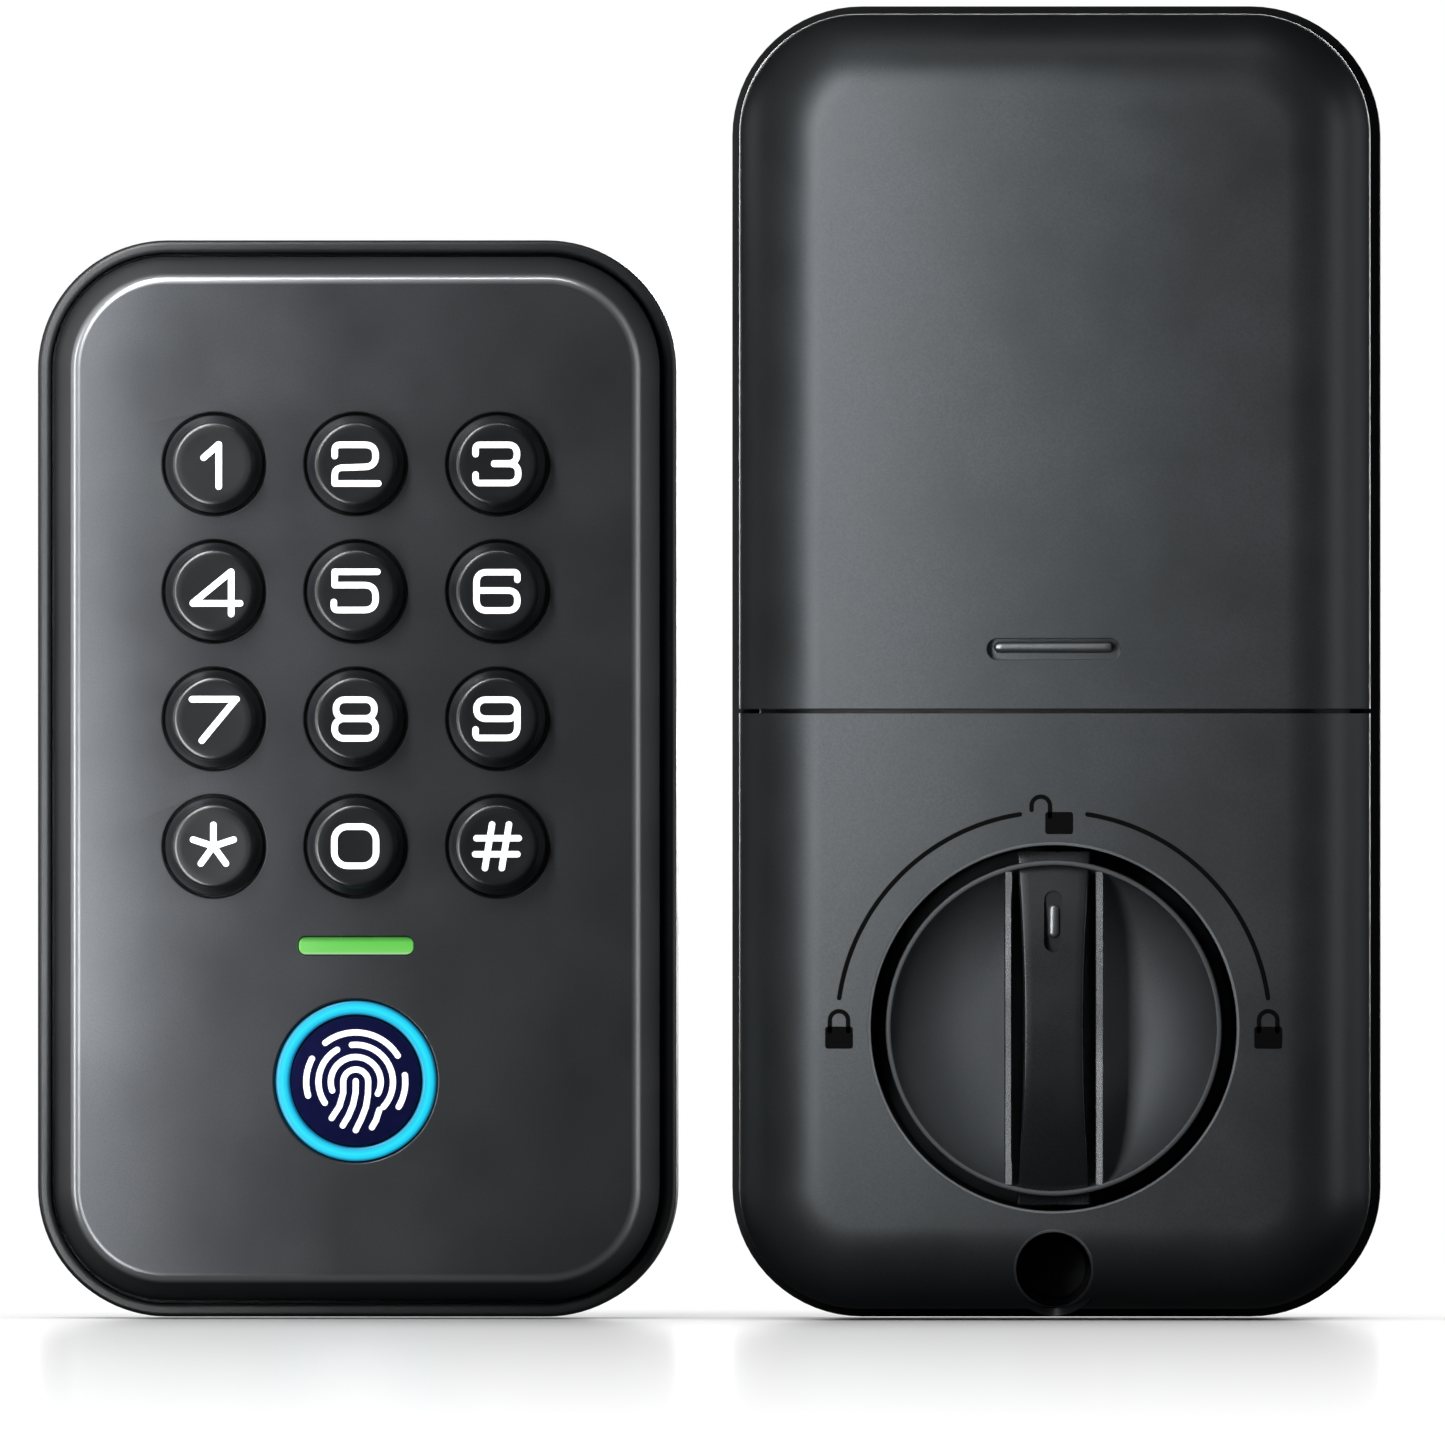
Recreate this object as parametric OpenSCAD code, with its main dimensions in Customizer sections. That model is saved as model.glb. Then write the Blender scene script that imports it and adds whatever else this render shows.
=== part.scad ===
// Keypad smart lock: an outdoor keypad unit and an indoor thumbturn unit, side by side.
//
// Each unit is drawn in a frame of its own: x across, y up, z straight out of the door,
// with y = 0 on the ground and z = 0 on the door. outdoor() and indoor() stand it up
// in the part's frame, where +Z is up and both fronts look towards -Y.

/* [Layout] */
// Gap between the two units as they stand side by side
unit_gap = 6; // [2:0.5:20]
// Height of the thumbturn and of the door's bore above the ground
bore_z = 31.3; // [30:0.1:36]
// Half the distance between the two bolts that clamp the units to the door
bolt_offset = 21; // [20:0.5:22]

/* [Outdoor unit] */
// Width of the outdoor unit
kp_w = 69; // [67:0.5:90]
// Height of the outdoor unit
kp_h = 116.3; // [112:0.1:150]
// Corner radius of its outline
kp_corner_r = 14; // [12:0.5:18]
// Depth from the door to the flat face
kp_depth = 21; // [21:0.5:28]
// Depth of the back housing, from the door to its rim
housing_depth = 15; // [13:0.5:16]
// Thickness of the housing's floor
housing_floor = 2; // [1.5:0.1:3]
// Width of the housing's rim round the face shell
rim_w = 1.4; // [1.2:0.1:2]
// Width of the shadow line between the rim and the face shell
groove_w = 0.4; // [0.2:0.1:0.8]
// Thickness of the face
face_t = 2; // [1.6:0.1:2.4]
// Distance from the foot of the sloped edge to the flat face
face_inset = 3; // [2:0.1:4]
// Radius of the rounded edge round the face
face_edge_r = 1.2; // [0.5:0.1:1.6]
// Thickness of the rubber gasket against the door
gasket_t = 1.2; // [0.8:0.1:2]

/* [Keys] */
// Diameter of a key
key_d = 10.5; // [9:0.1:11]
// Diameter of a key's flat top
key_top_d = 8.2; // [6:0.1:8.6]
// How far a key stands out of the face
key_proud = 2.5; // [1.5:0.1:3]
// How far a key goes in when pressed
key_travel = 1.2; // [0.5:0.1:1.3]
// Radial gap between a key and its hole
key_gap = 0.3; // [0.2:0.05:0.5]
// Distance between columns of keys
key_pitch_x = 15.3; // [14.5:0.1:16]
// Distance between rows of keys
key_pitch_y = 13.75; // [13:0.05:14.2]

/* [Sensor and status light] */
// Height of the fingerprint sensor's centre
sensor_y = 25.5; // [20:0.1:26]
// Outer diameter of the light ring round the sensor
ring_d = 17.4; // [15:0.1:19]
// Width of the light ring
ring_w = 1.7; // [1:0.1:2.2]
// Distance from the sensor's centre up to the status light
light_rise = 14.6; // [13:0.1:16]
// Length of the status light
light_w = 12.3; // [8:0.1:16]
// Height of the status light
light_h = 1.85; // [1.2:0.05:2.4]
// Distance from the status light up to the lowest row of keys
keys_rise = 10.75; // [9:0.05:13]

/* [Indoor unit] */
// Width of the indoor unit
in_w = 70; // [68:0.5:90]
// Height of the indoor unit
in_h = 141.6; // [140:0.1:175]
// Corner radius of its outline
in_corner_r = 14; // [12:0.5:18]
// Depth from the door to the highest point of the thumbturn's grip
in_depth = 38; // [38:0.5:46]
// Depth of the back tray, from the door to its rim
tray_depth = 12; // [11.8:0.1:12.4]
// Width of the tray's rim round the covers
tray_rim_w = 1; // [0.6:0.1:2]
// Wall of the tray and of both covers
shell_t = 2; // [1.6:0.1:2.2]
// Width of the rounding from the sides to the front
pillow_w = 9; // [6:0.5:10]
// Depth of the rounding from the sides to the front
pillow_d = 9; // [6:0.2:10]
// Height of the line where the two covers meet
parting_y = 65.4; // [64:0.1:67]
// Width of the gap between the two covers
parting_gap = 0.45; // [0.3:0.05:1]

/* [Thumbturn] */
// Diameter of the round well in the front cover
well_d = 39.4; // [38:0.1:40]
// Diameter of the thumbturn's disc
knob_d = 36.2; // [34:0.1:37]
// Width of the grip at its ends
grip_end_w = 8; // [7:0.1:9]
// Width of the grip in its middle
grip_mid_w = 6.4; // [5:0.1:7]
// Length of the grip
grip_l = 38; // [34:0.1:38.2]

/* [Gear train] */
// Module of the teeth
tooth_module = 0.7; // [0.65:0.05:0.7]
// Teeth on the spindle's gear
spindle_teeth = 42; // [40:1:42]
// Teeth on the idler's small gear
idler_small_teeth = 12; // [11:1:13]
// Teeth on the idler's large gear
idler_large_teeth = 26; // [24:1:26]
// Teeth on the motor's pinion
pinion_teeth = 10; // [10:1:12]
// Distance from the spindle up to the motor's axis
motor_rise = 29.2; // [28.5:0.1:30]
// Diameter of the motor
motor_d = 12; // [10:0.1:12.4]
// Length of the motor
motor_l = 18; // [14:0.5:19]

/* [Batteries] */
// Diameter of an AA cell
cell_d = 14.5; // [13.5:0.1:14.5]
// Length of an AA cell with its button
cell_l = 50.4; // [49:0.1:50.5]

/* [Running fits] */
// Radial gap between a shaft and its bearing
run_gap = 0.05; // [0.02:0.01:0.08]

/* [Hidden] */

// Places of the two units in the part's frame
total_w = kp_w + unit_gap + in_w;
kp_cx = -total_w / 2 + kp_w / 2;
in_cx = total_w / 2 - in_w / 2;
back_y = in_depth / 2;

// Small distances shared by many pieces
seat_gap = 0.05;
free_gap = 0.3;
eps = 0.01;

// Outdoor unit: depths from the door
housing_back = gasket_t;
floor_top = housing_back + housing_floor;
ledge_z = housing_depth - 6;
shell_inset = rim_w + groove_w;
ledge_inset = shell_inset + 1.4;
face_back = kp_depth - face_t;
board_t = 1.6;
flange_t = 1;
flange_top = face_back - seat_gap;
key_bottom = flange_top - flange_t - 0.4;
mat_top = key_bottom - key_travel - 0.15;
dome_h = 1.6;
mat_t = 1;
switch_h = 1.2;
kp_board_top = mat_top - dome_h - mat_t - 0.1 - switch_h;
kp_board_bottom = kp_board_top - board_t;
cavity_inset = shell_inset + face_inset - 0.8;

// Outdoor unit: heights and sides
light_y = sensor_y + light_rise;
key_row_y = [for (row = [0 : 3]) light_y + keys_rise + (3 - row) * key_pitch_y];
key_col_x = [for (col = [-1 : 1]) col * key_pitch_x];
keys_mid_y = (key_row_y[0] + key_row_y[3]) / 2;
cable_y = bore_z + 12;
grommet_r = 5;
grommet_bore_r = 3;
port_z = 7;
kp_boss_x = kp_w / 2 - shell_inset - face_inset - 4.2;
kp_boss_r = 2.8;
kp_boss_places = [
    for (sx = [-1, 1], y = [shell_inset + face_inset + 6, kp_h - shell_inset - face_inset - 6])
        [sx * kp_boss_x, y]
];
board_screw_places = [for (sx = [-1, 1], row = [0, 3]) [sx * kp_boss_x, key_row_y[row] - 4]];

// Indoor unit: depths from the door
plate_t = 2;
tray_back = 0.2;
tray_floor_back = plate_t + 0.2;
tray_floor_top = tray_floor_back + 2;
cover_back = tray_depth;
slide_gap = 0.3;
front_z = in_depth - 2;
round_z = front_z - pillow_d;
cover_w = in_w - 2 * tray_rim_w;
spindle_r = 5;
spindle_gear_z = tray_floor_top + 0.6;
gear_t = 3;
upper_gear_z = spindle_gear_z + gear_t + 0.6;
upper_gear_t = 2.6;
chassis_back = upper_gear_z + upper_gear_t + 0.5;
chassis_t = 1.5;
chassis_front = chassis_back + chassis_t;
well_floor = chassis_front + 4.9;
well_floor_t = 2;
well_wall = 1.2;
knob_back = well_floor + well_floor_t + 0.4;
knob_rim = front_z;
pocket_floor = knob_rim - 7.7;
slot_floor = pocket_floor - 1;
ring_groove_z = chassis_front + 0.2;

// Indoor unit: the battery compartment
cell_pitch = cell_d + 0.1;
box_wall = 0.8;
box_end = 1.5;
box_w = 4 * cell_pitch + 2 * box_wall;
box_inner_l = cell_l + 8.1;
box_y = parting_y + 5.8;
box_l = box_inner_l + 2 * box_end;
box_back = cover_back + 1.2;
box_floor_t = 1.5;
cell_z = box_back + box_floor_t + cell_d / 2 + seat_gap;
box_front = cell_z + cell_d / 4;
rail_out = cover_w / 2 - shell_t - free_gap;
rail_in = box_w / 2 + 0.4;
rail_front = cover_back + 2;
rail_top = in_h - in_corner_r - 1;
spring_room = 6.7;
contact_room = 1.4;
contact_t = 0.4;

// Indoor unit: the grip in the battery cover and the thumbturn's shaft
grip_y = parting_y + 6.7;
grip_slot_w = 14.3;
grip_slot_h = 2.25;
hub_r = 6;
spindle_square = 7;
socket_w = spindle_square + 0.1;
tail_w = 2.8;
tail_h = 8.4;

// Indoor unit: the gear train. The idler stands where both pairs of gears mesh
near_pair = tooth_module * (spindle_teeth + idler_small_teeth) / 2;
far_pair = tooth_module * (idler_large_teeth + pinion_teeth) / 2;
idler_dy = (near_pair ^ 2 - far_pair ^ 2 + motor_rise ^ 2) / (2 * motor_rise);
idler_dx = sqrt(near_pair ^ 2 - idler_dy ^ 2);
near_angle = atan2(idler_dy, idler_dx);
far_angle = atan2(motor_rise - idler_dy, -idler_dx);
motor_y = bore_z + motor_rise;
idler_at = [idler_dx, bore_z + idler_dy];
idler_r = 1.5;
pinion_shaft_r = 0.75;
pinion_tip_r = tooth_module * (pinion_teeth / 2 + 0.8);
clamp_foot_x = motor_d / 2 + 4.5;
pressure_angle = 25;
tooth_slack = 0.07;
chassis_places = [for (sx = [-1, 1], y = [bore_z - 17.3, motor_y - 1.5]) [sx * 21, y]];
cable_x = -10;
cable_top = parting_y + 5;
board_y = box_y + 1.5;
board_l = 60;
board_w = 56;
board_places = [for (sx = [-1, 1], dy = [5, board_l - 5]) [sx * (board_w / 2 - 4), board_y + dy]];
cover_lug_places = [for (sx = [-1, 1]) [sx * (cover_w / 2 - 6.5), parting_y + 2.2]];
fix_y = 5.3;
fix_well_r = 4.05;
plate_places = concat([for (sx = [-1, 1]) [sx * 12, in_h - 6.5]], [for (sx = [-1, 1]) [sx * 22, 7]]);

module outdoor()
{
    translate([kp_cx, back_y, 0]) rotate([90, 0, 0]) children();
}

module indoor()
{
    translate([in_cx, back_y, 0]) rotate([90, 0, 0]) children();
}

// A rounded rectangle that stands on y = 0, drawn in by the given inset
module outline(w, h, r, inset = 0)
{
    rr = max(r - inset, 4);
    hw = w / 2 - inset;
    translate([-hw + rr, inset]) square([2 * (hw - rr), h - 2 * inset]);
    translate([-hw, inset + rr]) square([2 * hw, h - 2 * inset - 2 * rr]);
    for (sx = [-1, 1], y = [inset + rr, h - inset - rr])
        translate([sx * (hw - rr), y]) circle(rr, $fn = 32);
}

// The same outline as a plate between two depths
module slab(w, h, r, inset, z0, z1)
{
    translate([0, 0, z0]) linear_extrude(z1 - z0) outline(w, h, r, inset);
}

// A round bar or hole along the depth
module rod(at, r, z0, z1)
{
    translate([at[0], at[1], z0]) cylinder(h = z1 - z0, r = r, $fn = 48);
}

// A block centred on a point of the front view, between two depths
module block(at, size, z0, z1)
{
    translate([at[0] - size[0] / 2, at[1] - size[1] / 2, z0]) cube([size[0], size[1], z1 - z0]);
}

// A bar with round ends, lying across, between two depths
module pill(at, w, h, z0, z1)
{
    translate([at[0], at[1], z0]) linear_extrude(z1 - z0) {
        square([w - h, h], center = true);
        for (sx = [-1, 1]) translate([sx * (w - h) / 2, 0]) circle(h / 2, $fn = 32);
    }
}

// A pan-head screw whose head faces the door (side -1) or the room (side 1)
module screw(at, r, head_r, head_z, shank_end, side, head_t = 1.2)
{
    rod(at, head_r, min(head_z, head_z + side * head_t), max(head_z, head_z + side * head_t));
    rod(at, r, min(head_z, shank_end), max(head_z, shank_end));
}

// ---- Outdoor unit ----

module keypad_back_housing()
{
    color([0.05, 0.05, 0.05]) outdoor() difference() {
        slab(kp_w, kp_h, kp_corner_r, 0, housing_back, housing_depth);
        slab(kp_w, kp_h, kp_corner_r, ledge_inset, floor_top, housing_depth);
        slab(kp_w, kp_h, kp_corner_r, rim_w, ledge_z, housing_depth + 1);
        for (sx = [-1, 1]) rod([sx * bolt_offset, bore_z], 4 + seat_gap, 0, floor_top + 1);
        rod([0, cable_y], grommet_r + seat_gap, 0, floor_top + 1);
        for (p = kp_boss_places) {
            rod(p, 1.5, 0, floor_top + 1);
            rod(p, 2.6, 0, housing_back + 1.3);
        }
        translate([0, 0, port_z]) rotate([-90, 0, 0])
            translate([0, 0, -1]) linear_extrude(ledge_inset + 2) port_outline(0.15);
    }
}

// Outline of the charging socket's mouth, made larger by a gap
module port_outline(gap)
{
    square([5.8, 3.2 + 2 * gap], center = true);
    for (sx = [-1, 1]) translate([sx * 2.9, 0]) circle(1.6 + gap, $fn = 32);
}

module door_gasket()
{
    color([0.12, 0.12, 0.12]) outdoor() difference() {
        slab(kp_w, kp_h, kp_corner_r, 1.5, 0, gasket_t);
        slab(kp_w, kp_h, kp_corner_r, 4, -1, gasket_t + 1);
    }
}

module keypad_face_shell()
{
    color([0.28, 0.29, 0.29]) outdoor() {
        difference() {
            hull() {
                slab(kp_w, kp_h, kp_corner_r, shell_inset, ledge_z, housing_depth);
                for (a = [0 : 22.5 : 90]) {
                    top = kp_depth - face_edge_r * (1 - sin(a));
                    edge = shell_inset + face_inset - face_edge_r * cos(a);
                    slab(kp_w, kp_h, kp_corner_r, edge, top - eps, top);
                }
            }
            slab(kp_w, kp_h, kp_corner_r, cavity_inset, ledge_z - 1, face_back);
            for (x = key_col_x, y = key_row_y)
                rod([x, y], key_d / 2 + key_gap, face_back - 1, kp_depth + 1);
            rod([0, sensor_y], ring_d / 2 + seat_gap, face_back - 1, kp_depth + 1);
            pill([0, light_y], light_w + 2 * seat_gap, light_h + 2 * seat_gap, face_back - 1, kp_depth + 1);
        }
        for (p = kp_boss_places) difference() {
            rod(p, kp_boss_r, floor_top + seat_gap, face_back);
            rod(p, 1, floor_top - 1, floor_top + 9);
        }
        for (p = board_screw_places) difference() {
            rod(p, 2.2, kp_board_top, face_back);
            rod(p, 0.8, kp_board_top - 1, kp_board_top + 5);
        }
    }
}

module key_mat()
{
    color([0.16, 0.16, 0.16]) outdoor() {
        block([0, keys_mid_y], [3 * key_pitch_x - 1, 4 * key_pitch_y - 1],
            mat_top - dome_h - mat_t, mat_top - dome_h);
        for (x = key_col_x, y = key_row_y) translate([x, y, mat_top - dome_h - eps])
            cylinder(h = dome_h + eps, r1 = 3.6, r2 = 2.6, $fn = 32);
    }
}

module keypad_circuit_board()
{
    color([0.05, 0.25, 0.12]) outdoor() difference() {
        slab(kp_w, kp_h, kp_corner_r, cavity_inset + 0.6, kp_board_bottom, kp_board_top);
        for (p = kp_boss_places) rod(p, kp_boss_r + 0.5, kp_board_bottom - 1, kp_board_top + 1);
        for (p = board_screw_places) rod(p, 1.2, kp_board_bottom - 1, kp_board_top + 1);
        block([0, 0], [14, 2 * (shell_inset + 9)], kp_board_bottom - 1, kp_board_top + 1);
    }
}

module key_switches()
{
    color([0.75, 0.75, 0.72]) outdoor() for (x = key_col_x, y = key_row_y)
        block([x, y], [4.5, 4.5], kp_board_top, kp_board_top + switch_h);
}

module status_light_bar()
{
    color([0.4, 0.87, 0.37]) outdoor() pill([0, light_y], light_w, light_h, face_back - 1.5, kp_depth);
}

module status_lamp()
{
    color([0.95, 0.95, 0.85]) outdoor() for (x = [-3.5, 3.5])
        block([x, light_y], [3.5, 2.8], kp_board_top, kp_board_top + 1.6);
}

module fingerprint_light_ring()
{
    color([0.08, 0.75, 0.97]) outdoor() difference() {
        rod([0, sensor_y], ring_d / 2, face_back - 2, kp_depth + 0.1);
        rod([0, sensor_y], ring_d / 2 - ring_w, face_back - 3, kp_depth + 1);
    }
}

module fingerprint_sensor()
{
    color([0.12, 0.12, 0.31]) outdoor() {
        rod([0, sensor_y], ring_d / 2 - ring_w - seat_gap, face_back - 2, kp_depth - 0.1);
        block([0, sensor_y], [9, 9], kp_board_top + 0.8, face_back - 2);
    }
}

module sensor_bracket()
{
    color([0.2, 0.2, 0.2]) outdoor() difference() {
        union() {
            for (sx = [-1, 1]) rod([sx * 16, sensor_y], 1.8, face_back - 2 - eps, face_back);
            rod([0, sensor_y], ring_d / 2 + 1.6, face_back - 3.4, face_back - 2);
            block([0, sensor_y], [2 * kp_boss_x - 8, 7], face_back - 3.4, face_back - 2);
        }
        block([0, sensor_y], [9.4, 9.4], face_back - 4, face_back - 1);
    }
}

module keypad_board_screws()
{
    color([0.7, 0.7, 0.7]) outdoor() for (p = board_screw_places)
        screw(p, 0.8, 1.9, kp_board_bottom, kp_board_top + 4, -1);
}

module back_housing_screws()
{
    color([0.7, 0.7, 0.7]) outdoor() for (p = kp_boss_places)
        screw(p, 1, 2.3, housing_back + 1.3, floor_top + 7, -1, 1.2);
}

module mounting_inserts()
{
    color([0.75, 0.6, 0.3]) outdoor() for (sx = [-1, 1]) difference() {
        union() {
            rod([sx * bolt_offset, bore_z], 4, housing_back - 0.2, kp_board_bottom - 0.6);
            rod([sx * bolt_offset, bore_z], 4.8, floor_top, floor_top + 1);
        }
        rod([sx * bolt_offset, bore_z], 2.1, 0, kp_board_bottom - 1.4);
    }
}

module cable_grommet()
{
    color([0.1, 0.1, 0.1]) outdoor() difference() {
        union() {
            rod([0, cable_y], grommet_r, housing_back - 0.6, floor_top + 0.6);
            rod([0, cable_y], grommet_r + 1, housing_back - 0.6, housing_back);
            rod([0, cable_y], grommet_r + 1, floor_top, floor_top + 0.6);
        }
        rod([0, cable_y], grommet_bore_r, 0, floor_top + 2);
    }
}

module outer_cable_header()
{
    color([0.9, 0.88, 0.8]) outdoor() difference() {
        block([-15, cable_y + 14], [12.5, 5], kp_board_bottom - 4, kp_board_bottom);
        block([-15, cable_y + 14], [10.5, 3.4], kp_board_bottom - 5, kp_board_bottom - 1);
    }
}

module emergency_power_port()
{
    color([0.6, 0.6, 0.62]) outdoor() translate([0, 0.4, port_z]) rotate([-90, 0, 0]) {
        difference() {
            linear_extrude(8) port_outline(0);
            translate([0, 0, -1]) linear_extrude(7) port_outline(-0.35);
        }
        translate([-3.2, -0.35, 0.8]) cube([6.4, 0.7, 6]);
    }
}

module buzzer()
{
    color([0.08, 0.08, 0.08]) outdoor() difference() {
        rod([15, cable_y + 14], 4.5, kp_board_bottom - 3.4, kp_board_bottom);
        rod([15, cable_y + 14], 0.8, kp_board_bottom - 4, kp_board_bottom - 2);
    }
}

// One key: a round button with a sloped shoulder and a flange that stops it behind the face
module key(col, row)
{
    top = kp_depth + key_proud;
    shoulder = (key_d - key_top_d) / 2;
    color([0.1, 0.11, 0.12]) outdoor() translate([key_col_x[col], key_row_y[row], 0])
        rotate_extrude($fn = 48) polygon([
            [0, key_bottom],
            [key_d / 2 + 0.8, key_bottom],
            [key_d / 2 + 0.8, flange_top],
            [key_d / 2, flange_top],
            [key_d / 2, top - shoulder * 0.8],
            [key_d / 2 - shoulder * 0.3, top - shoulder * 0.3],
            [key_top_d / 2, top],
            [0, top]
        ]);
}

// ---- Indoor unit: what stays still ----

// The pillow shape of both covers together, drawn in by a wall thickness
module pillow(wall)
{
    hull() {
        slab(in_w, in_h, in_corner_r, tray_rim_w + wall, cover_back - (wall > 0 ? 2 : 0), round_z - wall);
        for (a = [11.25 : 11.25 : 90]) {
            top = round_z - wall + pillow_d * sin(a);
            slab(in_w, in_h, in_corner_r, tray_rim_w + wall + pillow_w * (1 - cos(a)), top - eps, top);
        }
    }
}

// Everything below (side -1) or above (side 1) the line where the covers meet
module beyond_parting(side)
{
    edge = parting_y + side * parting_gap / 2;
    translate([-in_w, side > 0 ? edge : edge - in_h, 0]) cube([2 * in_w, in_h, 2 * in_depth]);
}

module mounting_plate()
{
    color([0.6, 0.6, 0.62]) indoor() difference() {
        slab(in_w, in_h, in_corner_r, 3.5, 0, plate_t);
        rod([0, bore_z], 7, -1, plate_t + 1);
        for (sx = [-1, 1]) rod([sx * bolt_offset, bore_z], 2.75, -1, plate_t + 1);
        block([cable_x, (bore_z + 13 + cable_top) / 2], [8, cable_top - bore_z - 13], -1, plate_t + 1);
        for (p = plate_places) rod(p, 1.2, -1, plate_t + 1);
    }
}

module plate_screws()
{
    color([0.72, 0.72, 0.72]) indoor() for (p = plate_places)
        screw(p, 1.2, 2.6, tray_floor_top, 0.3, 1, 1.6);
}

module indoor_back_tray()
{
    color([0.05, 0.05, 0.05]) indoor() {
        difference() {
            slab(in_w, in_h, in_corner_r, 0, tray_back, tray_depth);
            slab(in_w, in_h, in_corner_r, 3, -1, tray_floor_back);
            slab(in_w, in_h, in_corner_r, shell_t, tray_floor_top, tray_depth + 1);
            rod([0, bore_z], spindle_r + run_gap, 0, tray_floor_top + 1);
            rod(idler_at, idler_r + run_gap, 0, tray_floor_top + 1);
            for (sx = [-1, 1]) rod([sx * bolt_offset, bore_z], 5.6, 0, tray_floor_top + 1);
            block([cable_x, cable_top - 3], [8, 6], 0, tray_floor_top + 1);
            for (p = plate_places) rod(p, 1.3, 0, tray_floor_top + 1);
        }
        for (p = chassis_places) difference() {
            rod(p, 3, tray_floor_top, chassis_back);
            rod(p, 1, chassis_back - 5, chassis_back + 1);
        }
        for (p = board_places) difference() {
            rod(p, 2.4, tray_floor_top, tray_floor_top + 2);
            rod(p, 0.8, tray_floor_top + 0.2, tray_floor_top + 3);
        }
        for (p = cover_lug_places) difference() {
            rod(p, 2.8, tray_floor_top, tray_depth);
            rod(p, 0.9, tray_floor_top + 1, tray_depth + 1);
        }
        difference() {
            rod([0, fix_y], 2.6, tray_floor_top, tray_depth);
            rod([0, fix_y], 1, tray_floor_top + 1, tray_depth + 1);
        }
    }
}

module indoor_front_cover()
{
    color([0.3, 0.31, 0.32]) indoor() difference() {
        union() {
            difference() {
                intersection() {
                    pillow(0);
                    beyond_parting(-1);
                }
                pillow(shell_t);
            }
            intersection() {
                pillow(0);
                rod([0, bore_z], well_d / 2 + well_wall, well_floor, in_depth);
            }
            intersection() {
                pillow(0);
                rod([0, fix_y], fix_well_r + well_wall, tray_depth, in_depth);
            }
            for (p = cover_lug_places) {
                rod(p, 3.2, tray_depth, tray_depth + 1.8);
                block([p[0], parting_y - 1], [6.4, 6.4], tray_depth, tray_depth + 1.8);
                block([p[0] + sign(p[0]) * 1, parting_y - 3], [8.4, 5], tray_depth, tray_depth + 1.8);
            }
        }
        rod([0, bore_z], well_d / 2, well_floor + well_floor_t, in_depth + 1);
        rod([0, bore_z], hub_r + run_gap, well_floor - 1, in_depth);
        rod([0, fix_y], fix_well_r, tray_depth + 2, in_depth + 1);
        rod([0, fix_y], 1.3, tray_depth - 1, in_depth);
        for (p = cover_lug_places) rod(p, 1.2, tray_depth - 1, tray_depth + 3);
    }
}

module cover_screws()
{
    color([0.7, 0.7, 0.7]) indoor() for (p = cover_lug_places)
        screw(p, 0.9, 2.2, tray_depth + 1.8, tray_floor_top + 2, 1);
}

module bottom_fixing_screw()
{
    color([0.1, 0.1, 0.1]) indoor() difference() {
        screw([0, fix_y], 1, 3.2, tray_depth + 2, tray_floor_top + 2, 1, 2.2);
        block([0, fix_y], [3.6, 0.8], tray_depth + 3.2, tray_depth + 5);
        block([0, fix_y], [0.8, 3.6], tray_depth + 3.2, tray_depth + 5);
    }
}

module battery_box()
{
    color([0.09, 0.09, 0.09]) indoor() difference() {
        union() {
            block([0, box_y + box_l / 2], [box_w, box_l], box_back, box_front);
            for (sx = [-1, 1])
                block([sx * (box_w / 2 + rail_out) / 2, (box_y + rail_top) / 2],
                    [rail_out - box_w / 2 + 2 * eps, rail_top - box_y], rail_front, rail_front + 1.4);
        }
        block([0, box_y + box_l / 2], [box_w - 2 * box_wall, box_inner_l],
              box_back + box_floor_t, in_depth);
    }
}

module batteries()
{
    button_l = 1.2;
    color([0.55, 0.42, 0.2]) indoor() for (i = [0 : 3]) {
        up = i % 2 == 0;
        x = (i - 1.5) * cell_pitch;
        y = box_y + box_end + (up ? spring_room : contact_room);
        translate([x, y, cell_z]) rotate([-90, 0, 0]) {
            translate([0, 0, up ? 0 : button_l]) cylinder(h = cell_l - button_l, d = cell_d, $fn = 48);
            translate([0, 0, up ? cell_l - button_l : 0]) cylinder(h = button_l, d = 5.5, $fn = 48);
        }
    }
}

// Points of a ring of the spring's wire at turn angle a
function spring_ring(a, turns, r0, r1, rise, wire_r, sides) =
    let (s = a / (360 * turns), r = r0 + (r1 - r0) * s)
    [for (k = [0 : sides - 1])
        let (b = 360 * k / sides, q = r + wire_r * cos(b))
            [q * cos(a), q * sin(a), rise * s + wire_r * sin(b)]];

// A conical spring that stands on z = 0, wound from a wide foot to a narrow top
module cone_spring(turns, r0, r1, rise, wire_r)
{
    sides = 6;
    rings = 14 * turns;
    points = [for (i = [0 : rings])
        for (p = spring_ring(360 * turns * i / rings, turns, r0, r1, rise, wire_r, sides)) p];
    walls = [for (i = [0 : rings - 1], k = [0 : sides - 1])
        [i * sides + k, (i + 1) * sides + k,
         (i + 1) * sides + (k + 1) % sides, i * sides + (k + 1) % sides]];
    caps = [[for (k = [0 : sides - 1]) k], [for (k = [sides - 1 : -1 : 0]) rings * sides + k]];
    polyhedron(points, concat(walls, caps));
}

module battery_springs()
{
    rise = spring_room - contact_t - 1.1;
    color([0.8, 0.8, 0.78]) indoor() for (i = [0 : 3]) {
        up = i % 2 == 0;
        y = up ? box_y + box_end + contact_t + 0.5 : box_y + box_end + box_inner_l - contact_t - 0.5;
        translate([(i - 1.5) * cell_pitch, y, cell_z]) rotate([up ? -90 : 90, 0, 0])
            cone_spring(4, 4.4, 2.6, rise, 0.45);
    }
}

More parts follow.
